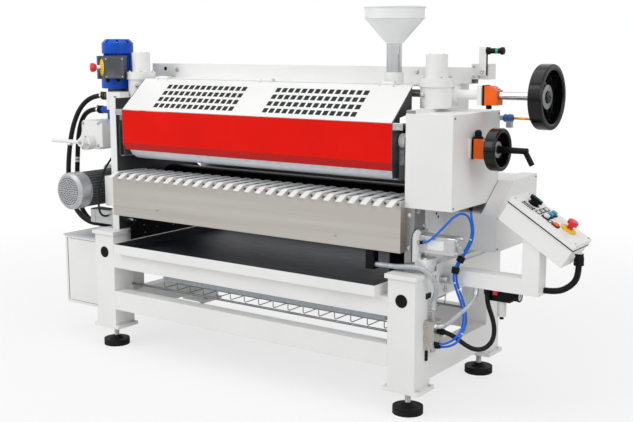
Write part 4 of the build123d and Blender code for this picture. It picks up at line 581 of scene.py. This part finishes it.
screws("beam_bolts", (hex_head(9, 7, -Y), [(617, 45, 1298), (-698, 45, 1289)]))
piece("beam_plug", [turned([(9, 0), (9, 1), (7.5, 2), (0.6, 1.6)], (-776, 45, 1293), -Y, 28)], black_nylon)


# Funnel: blow-moulded white polyethylene, a waxy white, with a rolled rim, in a polished steel feed tube
# that mirrors its surroundings in upright streaks.
funnel_pe = finish(
    "moulded_polyethylene", ("#F3F4F4", "#EBECEC"), 120, (0.35, 0.5), 6, 0.04, "white_plastic", IOR=1.51)
polished_tube = finish(
    "polished_stainless_tube", ("#B9BABC", "#D0D1D2"), 16, (0.07, 0.16), 5, 0.02, stretch=(1, 1, 30),
    Metallic=1)
paint("funnel", funnel_pe, (polished_tube, lambda x, y, z, n: z < 1411))
bead = np.c_[np.cos(circle(14)), np.sin(circle(14))]
lips = [turned(middle + radius * bead, (597, -100, 0), Z, 72, wrap=True) for middle, radius in (
    ((118.6, 1549.5), 3.6), ((119, 1507), 1.6), ((32.5, 1413.5), 3.2))]
piece("funnel_lips", lips, funnel_pe, smooth=80)


# Hood: a folded white cover with rows of square vents, dark end plates and a red front panel, hinged at
# the shelf. The red is a stove enamel; the fold along its lower edge faces down and is painted a darker,
# glossier red as painted shade, and it mirrors the guard below it. A dull black sheet with a fine pitted
# grain under the vents is painted shade for the dark inside of the hood.
red_enamel = finish(
    "red_stove_enamel", ("#EA1203", "#E20D01"), 260, (0.3, 0.4), 8, 0.03, edge=2.5, IOR=1.5,
    Specular_IOR_Level=0.12)
# darker red on the downward fold: painted shade
red_fold_painted_shade = finish(
    "red_enamel_painted_shade", ("#C00B06", "#B60A05"), 260, (0.06, 0.1), 30, 0.01, edge=2.5,
    Specular_IOR_Level=0.22)
# black sheet under the vents: painted shade for the dark inside of the hood
vent_painted_shade = finish("black_vent_painted_shade", ("#141415", "#222324"), 12, (0.8, 0.95), 3, 0.4, "black_rubber")
paint("hood_shell", white_coat, (dark_enamel_and_painted_shade, lambda x, y, z, n: abs(x) > 713.9))
paint("red_panel", red_enamel, (red_fold_painted_shade, lambda x, y, z, n: (z < 964.9) & (y < -297)))
slope = (0, 0.7485, 0.6632)
piece("hood_vent_shade", [
    slab((x, -234, 1177.3), X, slope, (480, 166), 6, [(0, -6), (0, 2.4)]) for x in (-309, 309)],
    vent_painted_shade, "hood")
soft_plate = [(0, 0), (0, 1.6), (0.8, 2.4)]
brackets = [slab((side * 718, -290, 1098), Y * side, Z, (34, 26), 3, soft_plate) for side in (1, -1)]
brackets += [slab((x, -306, 1103), X, Z, (44, 27), 2, soft_plate) for x in (740, -740)]
piece("hood_brackets", brackets, zinc_plate, "hood")
screws("hood_bracket_screws", *[
    (socket_head(4, X * side), [(side * 720.2, y, 1098) for y in (-298, -282)]) for side in (1, -1)],
    (socket_head(4.5, -Y), [(x, -308.4, 1104) for x in (-752, -728, 728, 752)]), body="hood")


# Comb guard: brushed stainless sheet with folded fingers that keep hands off the rolls; the brushing
# runs along the panel and is drawn coarser than it is so that it shows. The fingers and the top edge are
# painted an even pale grey where the light falls on them, a painted highlight, and a screw painted dark
# as painted shade stands in each gap between them.
brushed_stainless = finish(
    "brushed_stainless_sheet", ("#BAB5AF", "#C4C0BA"), 30, (0.42, 0.5), 4, 0.01, stretch=(40, 1, 1),
    Metallic=0.85)
# pale grey on the lit fingers and top edge: painted highlight
finger_painted_highlight = finish(
    "finger_steel_painted_highlight", ("#EAEDED", "#F2F5F5"), 20, (0.5, 0.62), 4, 0.02, Specular_IOR_Level=0.2)
panel_y = -328
paint("comb_guard", brushed_stainless,
      (finger_painted_highlight, lambda x, y, z, n: (y < panel_y - 0.05) | ((z > 825.9) & (y < 0))),
      (black_nylon, lambda x, y, z, n: (z < 640.5) & (x > 610) & (x < 655) & (y > panel_y + 2)))
gaps, comb_left, comb_width = 27, -781, 1540
# screws painted dark: painted shade in the gaps under the fingers
screws("comb_screws", (socket_head(4, -Y, 0.45), [
    (comb_width / gaps * (i + 1) + comb_left, panel_y, 813) for i in range(gaps)]), skin=dark_enamel_and_painted_shade)
screws("guard_screws", (socket_head(5, -Y), [(-494, panel_y, 675), (473, panel_y, 666)]),
       (socket_head(5, Y), [(x, 303.02, z) for x in (-780, 780) for z in (655, 727, 799)]))


# End dams and their air cylinders: black plastic plates on steel rods, pressed by square cylinders of
# clear anodised aluminium, a soft silver drawn along their length, with machined heads, tie-rod nuts
# and plated end caps. The right one stands on a white foot behind a rounded bracket.
clear_anodised = finish(
    "clear_anodised_aluminium", ("#C2C3C3", "#D1D2D1"), 24, (0.3, 0.42), 4, 0.03, "bright_steel",
    stretch=(20, 1, 1), Metallic=0.9)
paint("dam_cylinders", clear_anodised, (zinc_plate, lambda x, y, z, n: (y < -282.6) & (x > 822) & (x < 838)))
for node in ("lower_dam_left", "lower_dam_right"):
    paint(node, black_nylon, (turned_steel, lambda x, y, z, n: abs(x) > 704.5))
cylinder_y, end_x = -250, 975.4
sides = ((1, 665), (-1, 600))
piece("cylinder_heads", [
    slab((side * begin, cylinder_y, z), Y * side, Z, (68.6, 68.6), 5, [(0, 0), (0, long - 1), (1, long)])
    for side, z in sides for begin, long in ((820.2, 25), (946, 29.5))], clear_anodised)
end_cap = [(19, 0), (19, 5), (17.5, 6), (10, 6.2), (9, 3), (1, 3)]
screws("dam_fittings", *[(hex_head(6, 7, X * side), [
    (side * end_x, cylinder_y + dy, z + dz) for dy in (-24, 24) for dz in (-24, 24)]) for side, z in sides],
    *[(turned(end_cap, (0, 0, 0), X * side, 36), [(side * end_x, cylinder_y, z)]) for side, z in sides])
piece("cylinder_plate", [slab((896, -282.4, 665), X, Z, (70, 36), 1.5, [(0, 0), (0, 0.5), (0.3, 0.8)])],
      white_coat)
screws("dam_screws", (socket_head(3.4, X), [(-700.2, y, z) for y, z in (
    (-206, 570), (-123, 548), (-199, 533), (-261, 598), (-8, 544), (110, 540))]), body="lower_dam_left")
piece("cylinder_foot", [slab((841, -255, 572.1), X, Y, (54, 84), 4, [(0, 0), (0, 32), (1.2, 34)])],
      white_coat)
screws("cylinder_foot_bolts", (hex_head(6.5, 6, Z), [(828, -284, 606), (854, -284, 606)]), skin=white_coat)


def arch(half, foot, front, back):
    """A plate with a round top: two upright edges from a foot and the half circle (y + half * cos a,
    z + half * sin a), carried from front to back along X."""
    y, z = -296, 687
    bow = np.linspace(0, np.pi, 19)
    top = np.c_[y + half * np.cos(bow), z + half * np.sin(bow)]
    outline = np.r_[[(y + half, foot)], top, [(y - half, foot)]]
    return loft([np.c_[np.full(len(outline), x), outline] for x in (front, back)])


piece("cylinder_bracket", [arch(33, 600, 820.2, 825.5)], white_coat)
piece("bracket_edge", [arch(35, 599, 819.9, 823)], black_nylon)


# Covers of the gears and of the drive: folded and welded sheet, powder coated, held by small screws
# whose zinc has gone dull.
paint("gear_covers", white_coat)
paint("drive_cover", white_coat)
dull_zinc = finish(
    "dull_zinc_screw", ("#77787A", "#8E8F90"), 10, (0.4, 0.55), 3, 0.03, "bright_steel", Metallic=0.8)
screws("cover_screws", (socket_head(3.6, X), [(968, y, z) for y in (-288, 78) for z in (811, 1141)]),
       (socket_head(3.6, X), [(1036, -48, 628), (1036, 300, 628), (1036, 300, 874), (1036, -48, 748)]),
       (socket_head(3.6, -X), [(-880, y, z) for y in (-262, 59) for z in (668, 782)]), skin=dull_zinc)


# Guide rod of the upper drive: a turned steel spindle from the right post with a clip moulded in blue
# and an end of bare brass, warm and bright.
blue_clip = finish(
    "blue_moulded_clip", ("#1F5FA8", "#2A70BC"), 20, (0.3, 0.4), 4, 0.04, "blue_plastic", IOR=1.53)
bare_brass = finish(
    "turned_brass", ("#C79A3E", "#DDB45A"), 20, (0.2, 0.32), 3, 0.03, "bright_steel", Metallic=1)
rod = np.array([0, 110, 1122])
piece("guide_spindle", [
    turned([(7, 0), (7, 168), (5, 169)], rod + 810 * X, X, 24),
    turned([(11, 0), (11, 18), (8, 20)], rod + 956 * X, X, 6),
    slab((1000, 110, 1085), X, Y, (24, 20), 4, [(0, 0), (0, 26), (2, 28)])], turned_steel)
clip = [(8, 0), (15, 1), (16, 6), (13, 12), (16, 20), (16, 32), (14, 36), (7, 37)]
piece("guide_clip", [turned(clip, rod + 977 * X, X, 28)], blue_clip)
tip = [(4.6, 0), (5, 1), (5, 70), (6.5, 71), (6.5, 75), (3, 76)]
piece("guide_end", [turned(tip, rod + 1013 * X, X, 24)], bare_brass)


# Handwheels: moulded black phenolic with a deep dish and broad spokes, a grey clamping ring and a cap on
# the hub; the shafts are bright drawn steel. The moulding has a wet black gloss, the ring a satin grey.
phenolic = finish(
    "moulded_black_phenolic", ("#050506", "#0A0A0B"), 120, (0.12, 0.2), 14, 0.03, "black_plastic", edge=3,
    IOR=1.6, Specular_IOR_Level=0.22)
grey_ring = finish(
    "grey_zinc_ring", ("#8A8D90", "#9DA0A3"), 18, (0.35, 0.5), 4, 0.04, "bright_steel", Metallic=0.6)
lift, doctor = np.array([(0, -62, 1217), (0, -140, 1023)])
for node, middle, back, bore in (("lift_wheel", lift, 1185, 15.01), ("doctor_wheel", doctor, 1039, 10.01)):
    paint(node, turned_steel, (phenolic, lambda x, y, z, n: (x > back) & (
        np.hypot(y - middle[1], z - middle[2]) > bore)))


def wheel_spokes(middle, face_x, web_x, hub_r, rim_r):
    """Five broad spokes on a wheel's dish: a rounded bar carried out from the hub to the rim, narrowing
    in depth and widening across, turned round the axis."""
    at_hub, at_rim = (hub_r, face_x - 2, 0.42 * hub_r), (rim_r, web_x + 8, 0.24 * rim_r)
    radius, deep, half = np.linspace(at_hub, at_rim, 5).T[:, :, None, None]
    outline = np.array([(-1, 0), (-0.94, 0.75), (-0.7, 1), (0.7, 1), (0.94, 0.75), (1, 0)])
    across, raised = outline.T[:, :, None]
    made = []
    for a in circle(5) + 0.4:
        out = math.cos(a) * Y + math.sin(a) * Z
        along = math.cos(a) * Z - math.sin(a) * Y
        made.append(loft(middle + radius * out + half * across * along
                         + (web_x + (deep - web_x) * raised) * X))
    return made


piece("lift_wheel_spokes", wheel_spokes(lift, 1222, 1200, 25, 96.5), phenolic, "lift_wheel")
piece("doctor_wheel_spokes", wheel_spokes(doctor, 1070, 1052, 18, 62.5), phenolic, "doctor_wheel")
lift_ring = [(20, 0), (44, 0.3), (45, 1), (45, 3), (43.5, 4), (21, 4), (20, 3)]
piece("lift_wheel_ring", [turned(lift_ring, lift + 1221.5 * X, X, 56, wrap=True)], grey_ring, "lift_wheel")
doctor_ring = [(12, 0), (30, 0.3), (31, 1), (31, 2.4), (30, 3.2), (13, 3.2), (12, 2.4)]
piece("doctor_wheel_ring", [turned(doctor_ring, doctor + 1069.5 * X, X, 48, wrap=True)], grey_ring,
      "doctor_wheel")
wheel_cap = [(23, 0.2), (23.575, 1.5), (23.575, 5), (21.85, 8), (16.1, 9.5), (6.9, 9.8), (5.75, 8.6),
             (1.15, 8.4)]
piece("lift_wheel_cap", [turned(wheel_cap, lift + 1222 * X, X, 40)], phenolic, "lift_wheel")
lever_root = [(9, 0), (16, 0.5), (16, 4), (13.5, 6), (12, 30), (11.2, 108), (11.6, 116), (9.5, 118)]
piece("clamp_lever_root", [turned(lever_root, doctor + 1070.4 * X, X, 32)], black_nylon, "clamp_lever")
paint("clamp_lever", black_nylon)


# Position counters: cases of smooth orange ABS on the two handwheel shafts, with a sloping window in a
# smoke-grey frame over the printed number drums, on black backing plates.
orange_abs = finish(
    "orange_abs", ("#FA5F08", "#FF6C12"), 60, (0.3, 0.42), 5, 0.03, "orange_plastic", IOR=1.53,
    Specular_IOR_Level=0.25)
smoke_grey = finish(
    "grey_window_frame", ("#6F7478", "#7C8185"), 20, (0.2, 0.3), 4, 0.02, "black_plastic", IOR=1.49)
drum_white = finish("printed_number_drum", ("#D9DDDD", "#E6E8E8"), 20, (0.35, 0.5), 3, 0.02, "white_plastic")
paint("position_counters", orange_abs)
case_x = 976
plates, frames, drums, marks = [], [], [], []
for middle, length, height in ((lift, 60, 72), (doctor, 58, 74)):
    plates.append(slab(middle + (case_x - 0.5) * X, Y, Z, (54, height + 5), 3, [(0, 0), (0, 7), (0.8, 8)]))
    sill = middle + (case_x + length) * X + height / 4 * Z
    top = middle + (case_x + length / 2) * X + height / 2 * Z
    rise = top - sill
    centre = (sill + top) / 2
    frames.append(slab(centre, rise, -Y, (19, 33), 3, [
        (0, -0.5), (0, 0.5), (0.6, 1.1), (3, 1.1), (3.3, 0.4)]))
    drums.append(slab(centre, rise, -Y, (13.4, 27.4), 1, [(0, -0.5), (0, 0.75), (0.3, 0.9)]))
    marks += [slab(centre + k * Y, rise, -Y, (7.5, 3.6), 1.2, [(0, 0.5), (0, 1.0), (0.2, 1.1)])
              for k in (-9, -3, 3, 9)]
piece("counter_plates", plates, black_nylon)
piece("counter_windows", frames, smoke_grey)
piece("counter_drums", drums, drum_white)
piece("counter_figures", marks, black_nylon)
knob = [(19, 0), (20, 1), (20, 5), (14, 8), (13, 16), (13.5, 22), (11, 28), (6, 31), (1, 31.6)]
piece("counter_knob", [turned(knob, (990, -140, 1060.5), Z, 36), turned(
    [(9, 0), (11, 1), (11, 13), (9, 16), (2, 16.5)], (992, -62, 1181), -Z, 24)], black_nylon)


# Main drive: an aluminium motor with dark painted fins and a silver fan cover, flanged to a cast reducer;
# the sprayed castings keep a fine grain and a soft metal sheen.
cast_silver = finish(
    "sprayed_cast_aluminium", ("#B3B5B8", "#C3C5C7"), 40, (0.3, 0.45), 4, 0.1, Metallic=0.75)
fin_grey = finish("dark_grey_motor_paint", ("#5E6367", "#6D7276"), 60, (0.35, 0.5), 5, 0.08)
paint("motor_body", fin_grey, (cast_silver, lambda x, y, z, n: (y < -320) | (y > -115)))
paint("motor_fan", black_nylon)
paint("gear_reducer", cast_silver)
screws("motor_screws", (socket_head(4, -Y), four((-1000, -384, 725), 74, X, Z)),
       (hex_head(7, 6, -Y), four((-1000, -114, 725), 81, X, Z)))


# Control cabinet: folded white sheet with an overhanging pale grey lid, on the left leg, and a lift-off
# door with two quarter-turn locks.
lid_grey = finish("pale_grey_lid_coat", ("#BEC3C8", "#C8CCD0"), 150, (0.32, 0.44), 7, 0.05, edge=2, IOR=1.5)
paint("cabinet_body", white_coat, (lid_grey, lambda x, y, z, n: z > 489.5))
paint("cabinet_door", white_coat)
lock = [(9.5, 0), (9.5, 2.5), (8, 4), (4, 4), (3.6, 1.6), (0.5, 1.5)]
door_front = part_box("cabinet_door")[0].y * 1000
piece("door_locks", [turned(lock, (-888, door_front, z), -Y, 28) for z in (458, 188)], zinc_plate,
      "cabinet_door", smooth=30)


# Feed valve: a cast box, machined and painted, with a bolted boss and a bar lever; the interlock switch
# stands on a post beside it, with a moulded gland for its cable.
paint("valve_box", white_coat)
paint("valve_lever", white_coat)
hub_x, hub_z = -1000, 949
screws("valve_bolts", (hex_head(6.5, 6, -Y), [(-1044, -250, 1035), (-938, -250, 1038), (-942, -250, 932)]),
       (socket_head(5, -Y), four((hub_x, -285, hub_z), 30, X, Z, 0.4)))
hub_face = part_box("valve_lever")[0].y * 1000
hub_bolt = [(11, 0), (11, 1.4), (8.5, 1.5), (8.5, 6), (7.4, 7), (1, 7)]
piece("lever_hub_bolt", [turned(hub_bolt, (hub_x, hub_face, hub_z), -Y, 6)], zinc_plate, "valve_lever",
      smooth=30)
piece("switch_lid", [slab((-854, -230, 1146), X, Z, (66, 60), 4, [(0, -0.5), (0, 1.2), (0.8, 2)])],
      white_coat)
piece("switch_window", [
    slab((-838, -232, 1162), X, Z, (18, 12), 2, [(0, -0.5), (0, 0.4), (0.3, 0.7)]),
    turned([(13, 0), (14, 1), (14, 12), (11, 16), (8, 22), (6, 34)], (-854, -200, 1000), -Z, 20),
], black_nylon)


# Glue pump: a blue enamelled motor with a slotted cap over a dark pump head, and a terminal box of grey
# moulding with a stop button on its end. The enamel is an even satin blue, the paint and the moulding
# are dull; the button's red and yellow plastic is smooth and bright.
blue_enamel = finish(
    "blue_motor_enamel", ("#0347B4", "#0955C8"), 120, (0.28, 0.38), 7, 0.04, edge=2, IOR=1.5,
    Specular_IOR_Level=0.25)
pump_grey = finish("dark_pump_paint", ("#2E3033", "#393C3F"), 50, (0.35, 0.5), 5, 0.08)
terminal_grey = finish(
    "grey_terminal_moulding", ("#4C4E52", "#585A5E"), 70, (0.38, 0.5), 4, 0.06, "dark_grey_paint")
stop_red = finish(
    "red_moulded_stop", ("#D8170F", "#E0241B"), 30, (0.25, 0.36), 4, 0.03, "red_paint", edge=2.5, IOR=1.53)
stop_yellow = finish(
    "yellow_moulded_ring", ("#F0BE00", "#F5C90E"), 30, (0.3, 0.42), 4, 0.03, "orange_plastic", IOR=1.53)
pump = np.array([-950, -100, 0])
reach = np.array([0.5, 0.866, 0])
face = np.array([0.866, -0.5, 0])


def at_box(along, out, z):
    """A place on the terminal box: along it, out from the pump's axis, and up, in mm."""
    return pump + along * reach + out * face + z * Z


paint("pump_motor", blue_enamel)
paint("pump_head", pump_grey, (blue_enamel, lambda x, y, z, n: z > 1246),
      (terminal_grey, lambda x, y, z, n: (z > 1246) & (
          (x - pump[0]) * face[0] + (y - pump[1]) * face[1] > 87.9)))
piece("terminal_lid", [slab(at_box(-57, 149.6, 1300), reach, Z, (88, 94), 4, [
    (0, 0), (0, 4), (1.2, 5.2), (8, 5.2), (9, 4.4)])], terminal_grey)
screws("terminal_screws", (socket_head(3.6, face), [
    at_box(a, 154.6, z) for a in (-95, -19) for z in (1259, 1341)]),
    (socket_head(4, Z), four(pump + 1415 * Z, 64, X, Y)))
gland = [(11, 0), (11, 5), (9.5, 6), (9.5, 13), (7, 17), (5, 18), (1, 18)]
piece("terminal_glands", [turned(gland, at_box(a, 119, 1250), -Z, 8) for a in (-30, -80)], black_nylon,
      smooth=30)
port_ring = [(12, 0), (20, 0.5), (20, 6), (17, 8), (17, 14), (20, 16), (20, 22), (12, 22.5)]
piece("port_rings", [turned(port_ring, (x, -100, z), -X, 32) for x, z in ((-1038, 1160), (-1066, 1092))],
      black_nylon)

stop_foot = at_box(-104, 119, 1302)
paint("estop_left", stop_red, (zinc_plate, lambda x, y, z, n: (
    (stop_foot[0] - x) * reach[0] + (stop_foot[1] - y) * reach[1] < 37.9)))
stop_ring = [(11.3, 0), (37, 0), (39, 1), (39, 3), (34, 5.5), (14, 7.5), (11.6, 7.5)]
piece("left_stop_ring", [turned(stop_ring, stop_foot, -reach, 48, wrap=True)], stop_yellow)
stop_head = [(11, 28), (14, 29), (18, 34), (20.6, 40), (21.4, 48), (21, 52.5), (17, 55), (1, 55.6)]
piece("left_stop_head", [turned(stop_head, stop_foot, -reach, 40)], stop_red, "estop_left")


# Control panel: a sheet-steel box with a lid on a welded arm, its switches screwed into the lid with
# black bezels and plain legend plates. The caps are moulded in smooth white, blue and green ABS.
paint("control_arm", white_coat)
paint("control_box", white_coat)
tilt = math.radians(31.6)
lid_u = np.array([math.cos(tilt), 0, -math.sin(tilt)])
lid_n = np.array([math.sin(tilt), 0, math.cos(tilt)])
lid_middle = np.array([1279, -115, 783.5])


def on_lid(u, v, n=0):
    """A place on the lid: u down its slope, v across it, n out of it, from the middle of its face."""
    return lid_middle + u * lid_u + v * Y + n * lid_n


def lid_plate(u, v, n, size, corner, levels):
    """A slab that lies on the lid."""
    return slab(on_lid(u, v, n), lid_u, Y, size, corner, levels)


def bezel(u, v, size, hole, height):
    """A square bezel with cut corners, |a| and |b| <= size / 2 and |a| + |b| <= size - 4, around a round
    hole."""
    turn = np.radians(np.arange(0, 360, 6))[:, None]
    a, b = np.cos(turn), np.sin(turn)
    edge = np.minimum(size / 2 / np.maximum(abs(a), abs(b)), (size - 4) / (abs(a) + abs(b)))
    levels = [(edge, 0), (edge, height - 0.6), (edge - 0.8, height), (hole, height), (hole, 0)]
    return loft([on_lid(u, v, up) + r * a * lid_u + r * b * Y for r, up in levels], wrap=True)


columns = (-33, 2, 37)
legends = [(-43, v, (22, 30), (14, 20)) for v in columns]
legends += [(-86, v, (50, 13), (40, 6)) for v in (-50, -33)]
legends += [(11.5, -38, (13, 30), (8, 20))]
bezels = [bezel(-11, v, 30, 11.5, 3.4) for v in columns]
bezels += [lid_plate(u, v, 0, plate, 2, [(0, 0), (0, 0.9), (0.4, 1.3)]) for u, v, plate, inlay in legends]
bezels += [lid_plate(36, -38, 0, (30, 30), 4, [(0, 0), (0, 2.8), (0.8, 3.4)]),
           turned([(23, 0), (23, 1), (21, 2.2), (18.6, 2.2)], on_lid(-86, 5, -0.7), lid_n, 40)]
piece("panel_bezels", bezels, black_nylon)
piece("panel_inlays", [
    lid_plate(u, v, 1.1, inlay, 1.5, [(0, 0), (0, 0.4), (0.2, 0.5)]) for u, v, plate, inlay in legends],
    drum_white)
piece("lamp_button", [lid_plate(36, -38, 3.2, (20, 20), 4, [(0, 0), (0, 4), (1.5, 6.5)])], orange_abs)
panel_ring = [(11.3, 0), (29, 0), (30.5, 1), (30.5, 3), (27, 5.5), (14, 7.5), (11.6, 7.5)]
piece("panel_stop_ring", [turned(panel_ring, on_lid(72, 10, 0.02), lid_n, 48, wrap=True)], stop_yellow)
screws("lid_screws", (socket_head(4, lid_n), [on_lid(u, v) for u in (-137, 137) for v in (-64, 64)]))
seal = [(0, -25.4), (0, -22.1)]
strips = [lid_plate(0, v, 0, (298.6, 8), 1, seal) for v in (-72.3, 72.3)]
strips += [lid_plate(u, 0, 0, (8, 136.6), 1, seal) for u in (-145.3, 145.3)]
piece("lid_gasket", strips, black_nylon)
white_abs = finish("white_abs_cap", ("#E4E6E6", "#EDEEEE"), 20, (0.3, 0.4), 4, 0.03, IOR=1.53)
blue_abs = finish("blue_abs_cap", ("#1E86D6", "#2B93E2"), 20, (0.3, 0.4), 4, 0.03, IOR=1.53)
for node, skin in (("button_white", white_abs), ("button_blue", blue_abs), ("button_green", green_abs),
                   ("estop_button", stop_red), ("rotary_switch", black_nylon)):
    paint(node, skin)
piece("rotary_pointer", [lid_plate(-68, 5, 26, (17, 9), 3, [(0, -2), (0, 0.6), (0.8, 1.4)])], green_abs,
      "rotary_switch")
elbow = [(17, 0), (18.5, 1), (18.5, 9), (17.2, 11), (18.2, 13), (18.2, 30), (16.5, 33), (16.3, 44)]
piece("panel_elbow", [turned(elbow, (1388, -115, 621.5), Z, 36)], black_nylon)


# Air service unit and valve block: a black regulator with a pale, glassy bowl of polycarbonate and a
# gauge under the arm, and a stainless manifold with socket screws on the right front leg.
bowl_pc = finish(
    "clear_polycarbonate_bowl", ("#E6E7E6", "#EFEFED"), 30, (0.14, 0.22), 5, 0.02, Transmission_Weight=0.1,
    IOR=1.58)
paint("air_unit", black_nylon, (bowl_pc, lambda x, y, z, n: (z < 447.9) & (z > 387.9)),
      (stop_red, lambda x, y, z, n: (y < -136.01) & (z > 473)))
gauge = (1164, -114, 474)
gauge_case = [(20.8, -4), (22.6, 0), (22.6, 3), (20.5, 4.5), (18.6, 4.5), (18.1, 1.5)]
piece("air_gauge", [turned(gauge_case, gauge, X, 48)], black_nylon)
piece("air_gauge_dial", [turned([(18.3, 1.3), (17.9, 1.9), (0.6, 2.0)], gauge, X, 40)], drum_white)
needle = [(0, 0), (0, 0.6), (0.2, 0.8)]
piece("air_gauge_needle", [slab((1166.2, -110, 478), Y + Z, Z - Y, (20, 1.6), 0.6, needle)], black_nylon)
paint("valve_block", brushed_stainless)
screws("valve_block_screws",
       (socket_head(6, -Y), [(868, -300, 352), (897, -300, 342), (868, -300, 305), (897, -300, 290)]),
       (socket_head(6, X), [(905, -252, 360), (905, -242, 310), (905, -255, 285)]))


# Small fittings on the right side: a plated ball valve on the arm's plate, a moulded frame round the slot
# in the leg, and a clip that holds the hoses off it.
valve = [(8, 0), (13, 0.4), (13, 9), (10, 10), (10, 13), (14.5, 14), (14.5, 30), (12, 33), (5, 33.5)]
piece("arm_valve", [turned(valve, (876, -203, 521), X, 32), turned(
    [(5, 0), (5, 26), (8, 27), (8, 38), (6, 40), (1, 40)], (898, -203, 514), -Z, 20)], zinc_plate)
piece("leg_slot_frame", [
    slab((860, -266, 464), Y, Z, (40, 22), 3, [(0, 0), (0, 1.2), (0.8, 1.8), (4.6, 1.8), (5, 0.5)]),
    slab((860, -280, 232), Y, Z, (13, 40), 3, [(0, 0), (0, 7), (1.2, 8)])], black_nylon)
